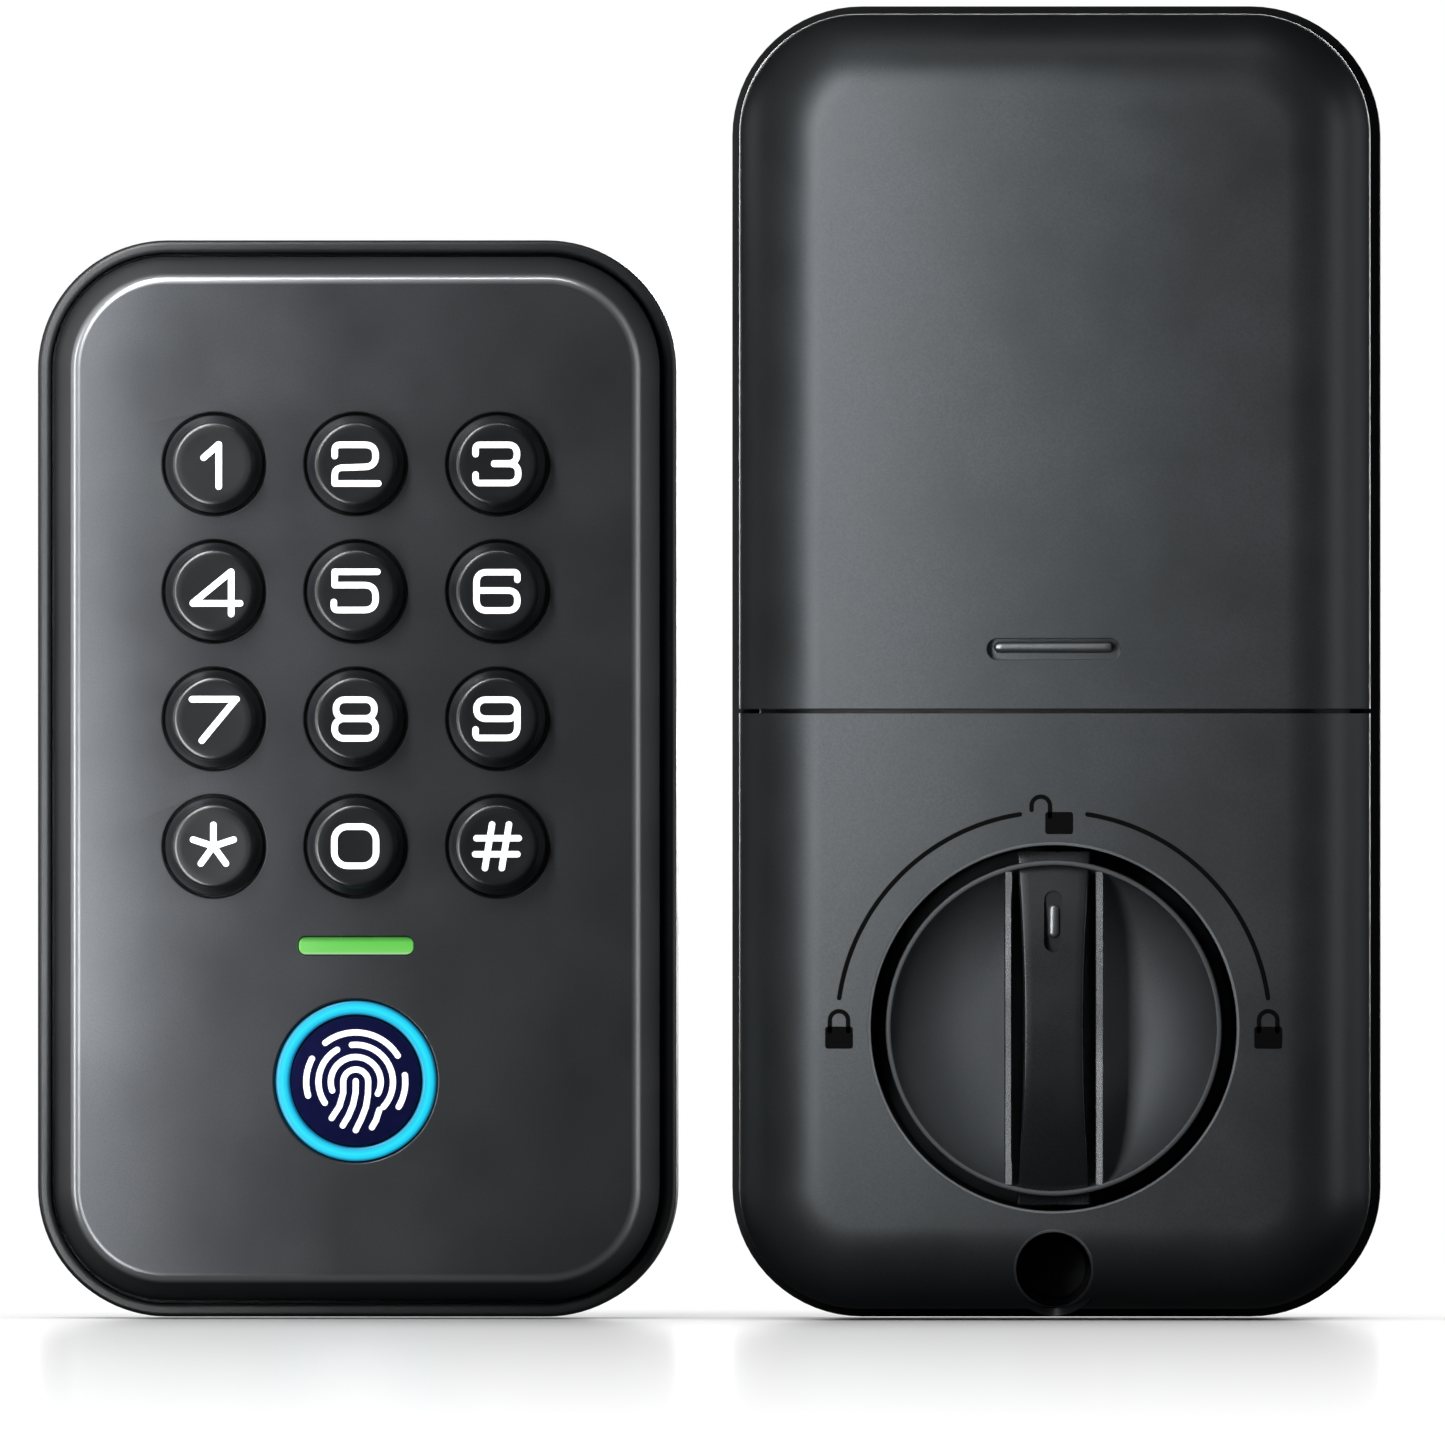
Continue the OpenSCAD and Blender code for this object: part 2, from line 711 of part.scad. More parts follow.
module battery_contacts()
{
    color([0.78, 0.78, 0.75]) indoor() for (i = [0 : 3], end = [0, 1])
        block([(i - 1.5) * cell_pitch,
            box_y + box_end + (end == 0 ? contact_t / 2 : box_inner_l - contact_t / 2)],
            [11, contact_t], cell_z - 5, cell_z + 5);
}

module gear_chassis()
{
    low = chassis_places[0][1];
    high = chassis_places[1][1];
    color([0.62, 0.62, 0.6]) indoor() difference() {
        union() {
            block([0, (low + high) / 2], [48, high - low + 6.4], chassis_back, chassis_front);
            rod([0, bore_z], spindle_r + 2.5, chassis_back - 1, chassis_front);
            rod(idler_at, idler_r + 1.5, chassis_back, chassis_front + 1);
        }
        rod([0, bore_z], spindle_r + run_gap, chassis_back - 2, chassis_front + 1);
        rod(idler_at, idler_r + run_gap, chassis_back - 1, chassis_front + 2);
        rod([0, motor_y], pinion_tip_r + 0.5, chassis_back - 1, chassis_front + 1);
        for (p = chassis_places) rod(p, 1.2, chassis_back - 1, chassis_front + 1);
        for (sx = [-1, 1]) {
            rod([sx * clamp_foot_x, motor_y], 0.9, chassis_back - 1, chassis_front + 1);
            rod([sx * bolt_offset, bore_z], 5.6, chassis_back - 1, chassis_front + 1);
        }
    }
}

module chassis_screws()
{
    color([0.7, 0.7, 0.7]) indoor() {
        for (p = chassis_places) screw(p, 1, 2.2, chassis_front, chassis_back - 4, 1);
        for (sx = [-1, 1])
            screw([sx * clamp_foot_x, motor_y], 0.9, 1.8, chassis_front + 1.2, chassis_back + 0.1, 1);
    }
}

module motor()
{
    color([0.72, 0.72, 0.74]) indoor() difference() {
        rod([0, motor_y], motor_d / 2, chassis_front, chassis_front + motor_l);
        rod([0, motor_y], pinion_shaft_r + run_gap, chassis_front - 1, chassis_front + 5);
    }
}

module motor_clamp()
{
    color([0.66, 0.66, 0.64]) indoor() difference() {
        union() {
            rod([0, motor_y], motor_d / 2 + 1.1, chassis_front, chassis_front + 9);
            block([0, motor_y], [2 * clamp_foot_x + 4, 4.4], chassis_front, chassis_front + 1.2);
        }
        rod([0, motor_y], motor_d / 2 + 0.02, chassis_front - 1, chassis_front + 10);
        for (sx = [-1, 1]) rod([sx * clamp_foot_x, motor_y], 1, chassis_front - 1, chassis_front + 2);
    }
}

module main_circuit_board()
{
    color([0.05, 0.25, 0.12]) indoor() difference() {
        block([0, board_y + board_l / 2], [board_w, board_l],
              tray_floor_top + 2, tray_floor_top + 2 + board_t);
        for (p = board_places) rod(p, 1, tray_floor_top + 1, tray_floor_top + 3 + board_t);
    }
    color([0.05, 0.05, 0.05]) indoor() {
        block([0, board_y + 32], [9, 9],
              tray_floor_top + 2 + board_t - eps, tray_floor_top + 3.2 + board_t);
        block([14, board_y + 22], [5, 6],
              tray_floor_top + 2 + board_t - eps, tray_floor_top + 3.6 + board_t);
    }
}

module main_board_screws()
{
    color([0.7, 0.7, 0.7]) indoor() for (p = board_places)
        screw(p, 0.8, 1.8, tray_floor_top + 2 + board_t, tray_floor_top + 0.4, 1);
}

module inner_cable_header()
{
    front = tray_floor_top + 2 + board_t;
    color([0.9, 0.88, 0.8]) indoor() difference() {
        block([-12, board_y + 6], [12.5, 5], front, front + 4.2);
        block([-12, board_y + 6], [10.5, 3.4], front + 1, front + 6);
    }
}

module position_switches()
{
    color([0.08, 0.08, 0.1]) indoor() for (sx = [-1, 1]) {
        block([sx * 20.4, bore_z + 14], [5, 8], tray_floor_top, tray_floor_top + 4.2);
        block([sx * 17.6, bore_z + 15], [1, 2], tray_floor_top + 1, tray_floor_top + 2.4);
    }
}

// ---- Indoor unit: the sliding battery cover ----

module battery_cover()
{
    color([0.3, 0.31, 0.32]) indoor() difference() {
        union() {
            difference() {
                intersection() {
                    pillow(0);
                    beyond_parting(1);
                    slab(in_w, in_h, in_corner_r, 0, cover_back + slide_gap, in_depth);
                }
                pillow(shell_t);
            }
            for (sx = [-1, 1])
                block([sx * (rail_in + cover_w / 2 - shell_t + 0.2) / 2, (box_y + rail_top) / 2],
                    [cover_w / 2 - shell_t + 0.2 - rail_in, rail_top - box_y - 6],
                    cover_back + slide_gap, rail_front - slide_gap);
        }
        pill([0, grip_y], grip_slot_w, grip_slot_h, front_z - 4, in_depth);
    }
}

module cover_grip()
{
    inner = front_z - shell_t;
    color([0.25, 0.25, 0.26]) indoor() {
        pill([0, grip_y], grip_slot_w + 2.4, grip_slot_h + 2.4, inner - 1.2, inner - seat_gap);
        pill([0, grip_y + 0.2], grip_slot_w - 1.3, 1.2, inner - 1, front_z + 0.1);
    }
}

// ---- Thumbturn and gear train ----

module thumbturn_knob()
{
    r = knob_d / 2;
    half = 5.1;
    crest_r = (grip_l ^ 2 / 4 + 3.4 ^ 2) / (2 * 3.4);
    waist = (grip_end_w - grip_mid_w) / 2;
    waist_r = (grip_l ^ 2 / 4 + waist ^ 2) / (2 * waist);
    color([0.1, 0.1, 0.1]) indoor() translate([0, bore_z, 0]) difference() {
        union() {
            difference() {
                translate([0, 0, knob_back]) cylinder(h = knob_rim - knob_back, r = r, $fn = 64);
                // Two half-moon pockets, bowl shaped, on both sides of the grip
                for (sx = [-1, 1]) intersection() {
                    translate([0, 0, pocket_floor]) rotate_extrude($fn = 64) polygon(pocket_profile(r));
                    translate([sx > 0 ? half : -half - r, -r, 0]) cube([r, 2 * r, in_depth]);
                }
                // The slot that the grip stands in
                intersection() {
                    translate([-4.45, -r, slot_floor]) cube([8.9, 2 * r, in_depth]);
                    translate([0, 0, slot_floor]) cylinder(h = in_depth, r = r - 0.6, $fn = 64);
                }
            }
            // The grip: waisted in plan and arched along its length
            intersection() {
                translate([0, 0, slot_floor - 1]) linear_extrude(in_depth) difference() {
                    square([grip_end_w, grip_l], center = true);
                    for (sx = [-1, 1])
                        translate([sx * (grip_mid_w / 2 + waist_r), 0]) circle(waist_r, $fn = 96);
                }
                translate([0, 0, in_depth - crest_r]) rotate([0, 90, 0])
                    cylinder(h = 2 * r, r = crest_r, center = true, $fn = 96);
            }
            translate([0, 0, well_floor]) cylinder(h = knob_back - well_floor + 1, r = hub_r, $fn = 48);
        }
        // Square socket for the spindle
        translate([-socket_w / 2, -socket_w / 2, 0]) cube([socket_w, socket_w, well_floor + 7.5]);
        // Pointer dimple near the grip's upper end
        translate([0, 11.5, in_depth - 1.6]) linear_extrude(5) union() {
            square([2, 4.6], center = true);
            for (sy = [-1, 1]) translate([0, sy * 2.3]) circle(1, $fn = 24);
        }
    }
}

// Half section of a bowl: flat in the middle, then a quarter round up to a thin rim
function pocket_profile(r) =
    let (wall_r = r - 0.5, flat_r = wall_r - 9.5, h = knob_rim - pocket_floor)
    concat([[0, 0]],
        [for (a = [0 : 10 : 80]) [flat_r + 9.5 * sin(a), h * (1 - cos(a))]],
        [[wall_r, h], [wall_r, h + 2], [0, h + 2]]);

module thumbturn_spindle()
{
    color([0.72, 0.72, 0.74]) indoor() translate([0, bore_z, 0]) difference() {
        union() {
            translate([0, 0, 1]) cylinder(h = ring_groove_z - 1, r = spindle_r, $fn = 48);
            translate([0, 0, ring_groove_z]) cylinder(h = 0.9, r = spindle_r - 0.5, $fn = 48);
            translate([0, 0, ring_groove_z + 0.9])
                cylinder(h = well_floor - ring_groove_z - 1.1, r = spindle_r, $fn = 48);
            translate([-spindle_square / 2, -spindle_square / 2, well_floor - 1])
                cube([spindle_square, spindle_square, 8]);
        }
        translate([-tail_w / 2, -tail_h / 2, 0]) cube([tail_w, tail_h, 12]);
    }
}

module retaining_ring()
{
    color([0.3, 0.3, 0.32]) indoor() difference() {
        rod([0, bore_z], spindle_r + 1.8, ring_groove_z + 0.05, ring_groove_z + 0.85);
        rod([0, bore_z], spindle_r - 0.45, ring_groove_z - 1, ring_groove_z + 2);
        block([0, bore_z - spindle_r - 1], [5, 6], ring_groove_z - 1, ring_groove_z + 2);
    }
}

// Angle, in degrees, that an involute from base radius rb has turned at radius r
function involute(rb, r) = let (a = acos(min(rb / r, 1))) tan(a) * 180 / PI - a;

// Outline of a spur gear with a tooth centred on angle turn
function gear_points(teeth, turn) =
    let (
        rp = tooth_module * teeth / 2,
        rb = rp * cos(pressure_angle),
        tip = rp + 0.8 * tooth_module,
        root = rp - 1.05 * tooth_module,
        low = max(rb, root),
        half = 90 / teeth - tooth_slack / rp * 90 / PI + involute(rb, rp),
        radii = concat([root], [for (k = [0 : 4]) low + (tip - low) * k / 4]),
        flank = [for (q = radii) [q, half - involute(rb, max(q, rb))]]
    )
    [for (i = [0 : teeth - 1]) let (mid = turn + 360 * i / teeth)
        for (side = [-1, 1], k = [0 : len(flank) - 1])
            let (p = flank[side < 0 ? k : len(flank) - 1 - k], a = mid + side * p[1])
                p[0] * [cos(a), sin(a)]];

module gear(at, teeth, turn, z0, t)
{
    translate([at[0], at[1], z0]) linear_extrude(t) polygon(gear_points(teeth, turn));
}

module spindle_gear()
{
    color([0.9, 0.88, 0.82]) indoor() difference() {
        union() {
            gear([0, bore_z], spindle_teeth, near_angle, spindle_gear_z, gear_t);
            rod([0, bore_z], spindle_r + 2.5, spindle_gear_z, spindle_gear_z + gear_t + 0.4);
        }
        rod([0, bore_z], spindle_r, spindle_gear_z - 1, spindle_gear_z + gear_t + 2);
    }
}

module idler_gear()
{
    color([0.9, 0.88, 0.82]) indoor() {
        gear(idler_at, idler_small_teeth, near_angle + 180 + 180 / idler_small_teeth,
            spindle_gear_z, upper_gear_z - spindle_gear_z + eps);
        gear(idler_at, idler_large_teeth, far_angle, upper_gear_z, upper_gear_t);
        rod(idler_at, idler_r, tray_floor_back + 0.2, chassis_front + 0.8);
    }
}

module motor_pinion()
{
    color([0.75, 0.62, 0.3]) indoor() {
        gear([0, motor_y], pinion_teeth, far_angle + 180 + 180 / pinion_teeth,
            upper_gear_z, upper_gear_t + 0.4);
        rod([0, motor_y], pinion_shaft_r, upper_gear_z, chassis_front + 4.5);
    }
}

keypad_back_housing();
door_gasket();
keypad_face_shell();
key_mat();
keypad_circuit_board();
key_switches();
status_light_bar();
status_lamp();
fingerprint_sensor();
fingerprint_light_ring();
sensor_bracket();
keypad_board_screws();
back_housing_screws();
mounting_inserts();
cable_grommet();
outer_cable_header();
emergency_power_port();
buzzer();
key(0, 0);  // key_1
key(1, 0);  // key_2
key(2, 0);  // key_3
key(0, 1);  // key_4
key(1, 1);  // key_5
key(2, 1);  // key_6
key(0, 2);  // key_7
key(1, 2);  // key_8
key(2, 2);  // key_9
key(0, 3);  // key_star
key(1, 3);  // key_0
key(2, 3);  // key_hash
mounting_plate();
plate_screws();
indoor_back_tray();
indoor_front_cover();
cover_screws();
bottom_fixing_screw();
battery_box();
batteries();
battery_springs();
battery_contacts();
gear_chassis();
chassis_screws();
motor();
motor_clamp();
main_circuit_board();
main_board_screws();
inner_cable_header();
position_switches();
battery_cover();
cover_grip();
thumbturn_knob();
thumbturn_spindle();
spindle_gear();
retaining_ring();
idler_gear();
motor_pinion();
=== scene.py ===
# %% [markdown]
# # A keypad smart lock
# The lock is two units: a keypad with a fingerprint sensor for the outside of a door, and a
# battery compartment with a thumbturn for the inside. The CAD model gives every piece's size and
# place; this lesson gives the pieces the eye sees their true surfaces, and every piece its finish.

# %% Load the frame
import math

import bmesh
import bpy
import numpy as np
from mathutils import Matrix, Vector


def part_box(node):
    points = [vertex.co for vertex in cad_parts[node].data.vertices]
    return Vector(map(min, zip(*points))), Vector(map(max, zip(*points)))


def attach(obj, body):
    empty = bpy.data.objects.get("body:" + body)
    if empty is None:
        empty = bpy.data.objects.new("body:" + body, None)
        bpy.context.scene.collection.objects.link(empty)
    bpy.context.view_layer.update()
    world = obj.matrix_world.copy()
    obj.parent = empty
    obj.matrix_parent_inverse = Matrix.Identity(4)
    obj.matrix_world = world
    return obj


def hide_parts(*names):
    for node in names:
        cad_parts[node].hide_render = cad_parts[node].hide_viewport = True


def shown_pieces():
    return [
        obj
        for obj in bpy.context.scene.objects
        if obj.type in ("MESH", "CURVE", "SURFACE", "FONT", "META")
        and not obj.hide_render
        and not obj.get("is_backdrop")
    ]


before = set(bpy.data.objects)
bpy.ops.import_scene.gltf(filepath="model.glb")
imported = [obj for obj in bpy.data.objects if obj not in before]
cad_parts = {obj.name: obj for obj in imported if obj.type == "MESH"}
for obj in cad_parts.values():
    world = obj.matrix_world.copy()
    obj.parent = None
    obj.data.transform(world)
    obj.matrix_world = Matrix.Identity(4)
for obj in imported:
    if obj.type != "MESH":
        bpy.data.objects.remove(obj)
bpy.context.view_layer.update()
MM = 0.001
print("CAD nodes:", len(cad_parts))

# %% [markdown]
# Every place comes from the CAD boxes. Each unit has a middle (its x), a foot (z = 0) and a door
# plane behind it. A point is easiest to think of as across, up and out of the door, in
# millimetres, so one function turns those three into the frame's metres.

# %% Measure the two units
def span(node):
    """Width, height, middle x and front depth of a CAD node, in millimetres."""
    low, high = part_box(node)
    size = (high - low) / MM
    return size.x, size.z, (low.x + high.x) / 2 / MM, DOOR_Y - low.y / MM


def middle_up(node):
    """Height of the middle of a CAD node, in millimetres."""
    low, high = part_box(node)
    return (low.z + high.z) / 2 / MM


def depths(node):
    """How far out of the door a CAD node's back and front lie, in millimetres."""
    low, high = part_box(node)
    return DOOR_Y - high.y / MM, DOOR_Y - low.y / MM


DOOR_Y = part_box("mounting_plate")[1].y / MM
kp_w, kp_h, kp_x, rim_d = span("keypad_back_housing")
in_w, in_h, in_x = span("indoor_back_tray")[:3]
face_d = span("keypad_face_shell")[3]
front_d = span("indoor_front_cover")[3]
bore_up = middle_up("thumbturn_spindle")
print(f"outdoor {kp_w:.1f} x {kp_h:.1f} mm, indoor {in_w:.1f} x {in_h:.1f} mm, spindle at {bore_up:.1f}")


def place(middle_x, across, up, out):
    """Points in the frame, in metres, from millimetres across, up and out of the door."""
    across, up, out = np.broadcast_arrays(across, up, out)
    return np.stack([middle_x + across, DOOR_Y - out, up], -1) * MM


# %% [markdown]
# The camera stands far back with a long lens, so that nothing seems to lean, and a hair to the
# right of the pair's middle. It comes first because everything is judged through it.

# %% Camera
camera_data = bpy.data.cameras.new("camera")
camera = bpy.data.objects.new("camera", camera_data)
bpy.context.scene.collection.objects.link(camera)
far = 6.0
aim = Vector((0.00156, 0.0, 0.0642))
seen_width = 0.1560
turn_right = math.radians(1.0)
camera.location = aim + Vector((math.sin(turn_right), -math.cos(turn_right), 0.0)) * far
camera.rotation_euler = (aim - camera.location).to_track_quat("-Z", "Y").to_euler()
camera_data.sensor_width = 36
camera_data.lens = 36 * far / seen_width
camera_data.clip_end = 40
bpy.context.scene.camera = camera
print(f"lens {camera_data.lens:.0f} mm from {far} m")

# %% [markdown]
# ## Tools for surfaces
# A surface is a grid of points worked out with numpy. `grid_faces` joins neighbours into quads,
# round the back too where a direction closes on itself, and flat caps close its ends.

# %% From grids to meshes
def grid_faces(rows, columns, close_rows=False, close_columns=False):
    """Quads between neighbouring points of a grid, as indices: i, i+1 and the row above."""
    r = np.arange(rows if close_rows else rows - 1)[:, None]
    c = np.arange(columns if close_columns else columns - 1)[None, :]
    a = r * columns + c
    b = r * columns + (c + 1) % columns
    d = (r + 1) % rows * columns + c
    e = (r + 1) % rows * columns + (c + 1) % columns
    return np.stack([a, b, e, d], -1).reshape(-1, 4)


def linked(name, data):
    """A new object in the scene that shows a mesh, a light or a camera."""
    thing = bpy.data.objects.new(name, data)
    bpy.context.scene.collection.objects.link(thing)
    return thing


def mesh_of(name, parts, weld=True):
    """One mesh from several (points, faces) parts, with its normals outwards."""
    points, faces, start = [], [], 0
    for part_points, part_faces in parts:
        points.append(np.reshape(part_points, (-1, 3)))
        faces += [[i + start for i in face] for face in part_faces]
        start += len(points[-1])
    mesh = bpy.data.meshes.new(name)
    mesh.from_pydata(np.concatenate(points).tolist(), [], faces)
    work = bmesh.new()
    work.from_mesh(mesh)
    if weld:
        bmesh.ops.remove_doubles(work, verts=work.verts, dist=1e-7)
    bmesh.ops.recalc_face_normals(work, faces=work.faces)
    work.to_mesh(mesh)
    work.free()
    return mesh


def shade(mesh, sharp):
    """Smooth shading, with edges sharper than an angle in degrees left sharp."""
    mesh.shade_smooth()
    mesh.set_sharp_from_angle(angle=math.radians(sharp))


def new_piece(name, parts, body, material, sharp=35):
    """One object from several (points, faces) parts, riding on a CAD body."""
    mesh = mesh_of(name, parts)
    shade(mesh, sharp)
    piece = linked(name, mesh)
    mesh.materials.append(material)
    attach(piece, body)
    return piece


def closed_rings(rings):
    """A solid from closed rings: quads between them and a flat cap on the first and the last."""
    rows, columns = rings.shape[:2]
    faces = grid_faces(rows, columns, close_columns=True).tolist()
    faces.append(list(range(columns))[::-1])
    faces.append(list(range((rows - 1) * columns, rows * columns)))
    return rings, faces


def revolved(middle_x, up, radius, out, turns=96, closed=True):
    """A lathe shape about an axis that points out of the door: radius and out are its profile."""
    angle = np.linspace(0, 2 * np.pi, turns, endpoint=False)[None, :]
    radius, out = np.asarray(radius, float)[:, None], np.asarray(out, float)[:, None]
    grid = place(middle_x, radius * np.cos(angle), up + radius * np.sin(angle), out + 0 * angle)
    return grid, grid_faces(len(radius), turns, closed, True).tolist()


def disc(middle_x, up, radius, out, turns=96):
    """A lathe shape that starts and ends on its axis, with a small flat cap at each end."""
    grid, faces = revolved(middle_x, up, radius, out, turns, closed=False)
    return closed_rings(grid)


def arc(start, stop, count):
    """Angles in radians from start to stop degrees."""
    return np.radians(np.linspace(start, stop, count))


# %% [markdown]
# Both units have the same outline: a rectangle with round corners, standing on its foot. Drawn in
# by an inset, its sides move inwards and its corner radius shrinks by the same amount, so rings
# with different insets have matching points and a loft between them never twists.

# %% The rounded outline
def outline(w, h, r, inset=0.0, corner=24, side=12):
    """Closed ring of (across, up): four quarter circles joined by straight sides."""
    rr, hw = r - inset, w / 2 - inset
    low, high = inset + rr, h - inset - rr
    steps = np.linspace(0, 1, side, endpoint=False)[1:]
    pieces = []
    centres = ((-90, hw - rr, low), (0, hw - rr, high), (90, rr - hw, high), (180, rr - hw, low))
    for start, cx, cy in centres:
        a = arc(start, start + 90, corner)
        pieces.append(np.stack([cx + rr * np.cos(a), cy + rr * np.sin(a)], -1))
    pieces += [pieces[0]]
    full = []
    for here, then in zip(pieces[:4], pieces[1:]):
        full += [here, here[-1] + (then[0] - here[-1]) * steps[:, None]]
    return np.concatenate(full)


def loft(middle_x, w, h, r, profile):
    """Rings of the outline, one for each (inset, out) of a profile."""
    return np.stack([
        place(middle_x, *outline(w, h, r, inset).T, out) for inset, out in profile])


def cut(piece, cutter_parts):
    """Takes closed shapes away from a piece, exactly, and keeps its sharp edges sharp."""
    cutter = linked("cutter", mesh_of("cutter", cutter_parts, weld=False))
    modifier = piece.modifiers.new("cut", "BOOLEAN")
    modifier.object = cutter
    modifier.solver = "EXACT"
    bpy.context.view_layer.update()
    done = bpy.data.meshes.new_from_object(piece.evaluated_get(bpy.context.evaluated_depsgraph_get()))
    piece.modifiers.clear()
    piece.data = done
    bpy.data.objects.remove(cutter)
    shade(done, 35)
    print(f"{piece.name}: {len(done.vertices)} vertices after cutting")


# %% [markdown]
# The flat faces have holes for keys and lamps. A flat curve fills itself between its outer line
# and its holes, and its corners land exactly on the points it was given, so the filled face can
# be welded to the walls that start from the same points.

# %% Flat faces with holes, circles and blocks
def filled(middle_x, loops, out):
    """Flat face at one depth, bounded by the first loop and pierced by the others."""
    curve = bpy.data.curves.new("flat", "CURVE")
    curve.dimensions = "2D"
    curve.fill_mode = "BOTH"
    for loop in loops:
        spline = curve.splines.new("POLY")
        spline.points.add(len(loop) - 1)
        spline.points.foreach_set("co", np.pad(loop, ((0, 0), (0, 2))).astype(np.float32).ravel())
        spline.use_cyclic_u = True
    holder = bpy.data.objects.new("flat", curve)
    mesh = bpy.data.meshes.new_from_object(holder)
    flat = np.empty(len(mesh.vertices) * 3, np.float32)
    mesh.vertices.foreach_get("co", flat)
    flat = flat.reshape(-1, 3)
    faces = [list(face.vertices) for face in mesh.polygons]
    bpy.data.objects.remove(holder)
    bpy.data.meshes.remove(mesh)
    return place(middle_x, flat[:, 0], flat[:, 1], out), faces


def circle(across, up, radius, turns=64):
    """Closed ring of (across, up)."""
    a = np.linspace(0, 2 * np.pi, turns, endpoint=False)
    return np.stack([across + radius * np.cos(a), up + radius * np.sin(a)], -1)


def bar_ring(across, up, width, height, radius, corner=8):
    """Closed ring of a small rounded bar around its own middle."""
    ring = outline(width, height, radius, 0.0, corner, 4)
    return ring + np.array([across, up - height / 2])


def rings_at(middle_x, rings, outs):
    """Grid of points: closed rings of (across, up), each at its own depth."""
    return np.stack([place(middle_x, ring[:, 0], ring[:, 1], out) for ring, out in zip(rings, outs)])


def wall(middle_x, rings, outs):
    """A wall between closed rings."""
    grid = rings_at(middle_x, rings, outs)
    return grid, grid_faces(len(rings), len(rings[0]), close_columns=True).tolist()


def prism(middle_x, ring, low, high):
    """A solid that keeps one outline from a low to a high depth."""
    return closed_rings(rings_at(middle_x, [ring, ring], (low, high)))


def block(middle_x, across, up, out):
    """A closed box from (low, high) pairs, used only to cut with."""
    a, u = np.array(across)[[0, 1, 1, 0]], np.array(up)[[0, 0, 1, 1]]
    return closed_rings(np.stack([place(middle_x, a, u, out[0]), place(middle_x, a, u, out[1])]))


# %% [markdown]
# ## Printed lines
# Legends, ridges and dial marks are all strokes of even width with round ends: the path, pushed
# half a width to each side, and half a circle round each end. Each is a film a few hundredths
# of a millimetre thick, and where two strokes cross, the second lies a hair higher.

# %% Strokes
def rounded(points, radius):
    """A path through corners, each corner turned into a smooth curve that starts radius away."""
    p = np.asarray(points, float)
    path = [p[:1]]
    s = np.linspace(0, 1, 9)[:, None]
    for a, c, b in zip(p[:-2], p[1:-1], p[2:]):
        back, on = a - c, b - c
        r = min(radius, np.linalg.norm(back) / 2, np.linalg.norm(on) / 2)
        start, stop = c + back / np.linalg.norm(back) * r, c + on / np.linalg.norm(on) * r
        path.append((1 - s) ** 2 * start + 2 * s * (1 - s) * c + s**2 * stop)
    return np.concatenate(path + [p[-1:]])


def stroke(path, width):
    """Closed ring round a path: right side, half circle, left side back, half circle."""
    run = np.gradient(path, axis=0)
    run /= np.linalg.norm(run, axis=1)[:, None]
    side = np.stack([run[:, 1], -run[:, 0]], -1) * width / 2
    a = arc(-90, 90, 11)[1:-1, None]
    cap_end = path[-1] + np.cos(a) * run[-1] * width / 2 - np.sin(a) * side[-1]
    cap_start = path[0] - np.cos(a) * run[0] * width / 2 + np.sin(a) * side[0]
    return np.concatenate([path + side, cap_end, (path - side)[::-1], cap_start])


def printed(middle_x, paths, width, out, film=0.05, centre=(0.0, 0.0)):
    """Films for several strokes; a closed path is a pair (ring, "closed")."""
    parts = []
    for i, path in enumerate(paths):
        low, high = out - 0.02, out + film + 0.004 * i
        if isinstance(path, tuple):
            ring = path[0] + np.array(centre)
            run = np.roll(ring, -1, 0) - np.roll(ring, 1, 0)
            run /= np.linalg.norm(run, axis=1)[:, None]
            side = np.stack([run[:, 1], -run[:, 0]], -1) * width / 2
            rings = [ring + side, ring + side, ring - side, ring - side]
            grid = rings_at(middle_x, rings, (low, high, high, low))
            parts.append((grid, grid_faces(4, len(ring), True, True).tolist()))
        else:
            ring = stroke(np.asarray(path, float) + np.array(centre), width)
            parts.append(prism(middle_x, ring, low, high))
    return parts


# %% [markdown]
# ## Finishes
# Every finish is built from nodes on Object coordinates, which are real metres, so a grain of a
# tenth of a millimetre is asked for as exactly that. `add` puts one node in; `finish` is the
# recipe that moulded, painted and turned surfaces share: a fine grain in the bump, slow patches
# in the gloss, and a slight drift in the colour.

# %% Materials: colours, nodes and the shared recipe
def linear(code):
    """An sRGB hex colour as linear red, green, blue and 1."""
    c = np.array([int(code[i : i + 2], 16) for i in (1, 3, 5)]) / 255
    c = np.where(c <= 0.04045, c / 12.92, ((c + 0.055) / 1.055) ** 2.4)
    return (*c.tolist(), 1.0)


def add(tree, kind, values=(), **settings):
    """Adds one shader node; values are its inputs, each a number, a colour or another's output."""
    node = tree.nodes.new("ShaderNode" + kind)
    for name, value in settings.items():
        setattr(node, name, value)
    for name, value in dict(values).items():
        if isinstance(value, bpy.types.NodeSocket):
            tree.links.new(value, node.inputs[name])
        else:
            node.inputs[name].default_value = value
    return node


def mapped(tree, value, low, high, start=0.0, stop=1.0):
    """A value that runs from low to high, carried to the range from start to stop."""
    return add(tree, "MapRange", {
        "Value": value, "From Min": low, "From Max": high, "To Min": start, "To Max": stop}).outputs[0]


def blank(name):
    """A new material: its tree, its Principled shader, and metres on the object."""
    material = bpy.data.materials.new(name)
    material.use_nodes = True
    tree = material.node_tree
    return material, tree, tree.nodes["Principled BSDF"], add(tree, "TexCoord").outputs["Object"]


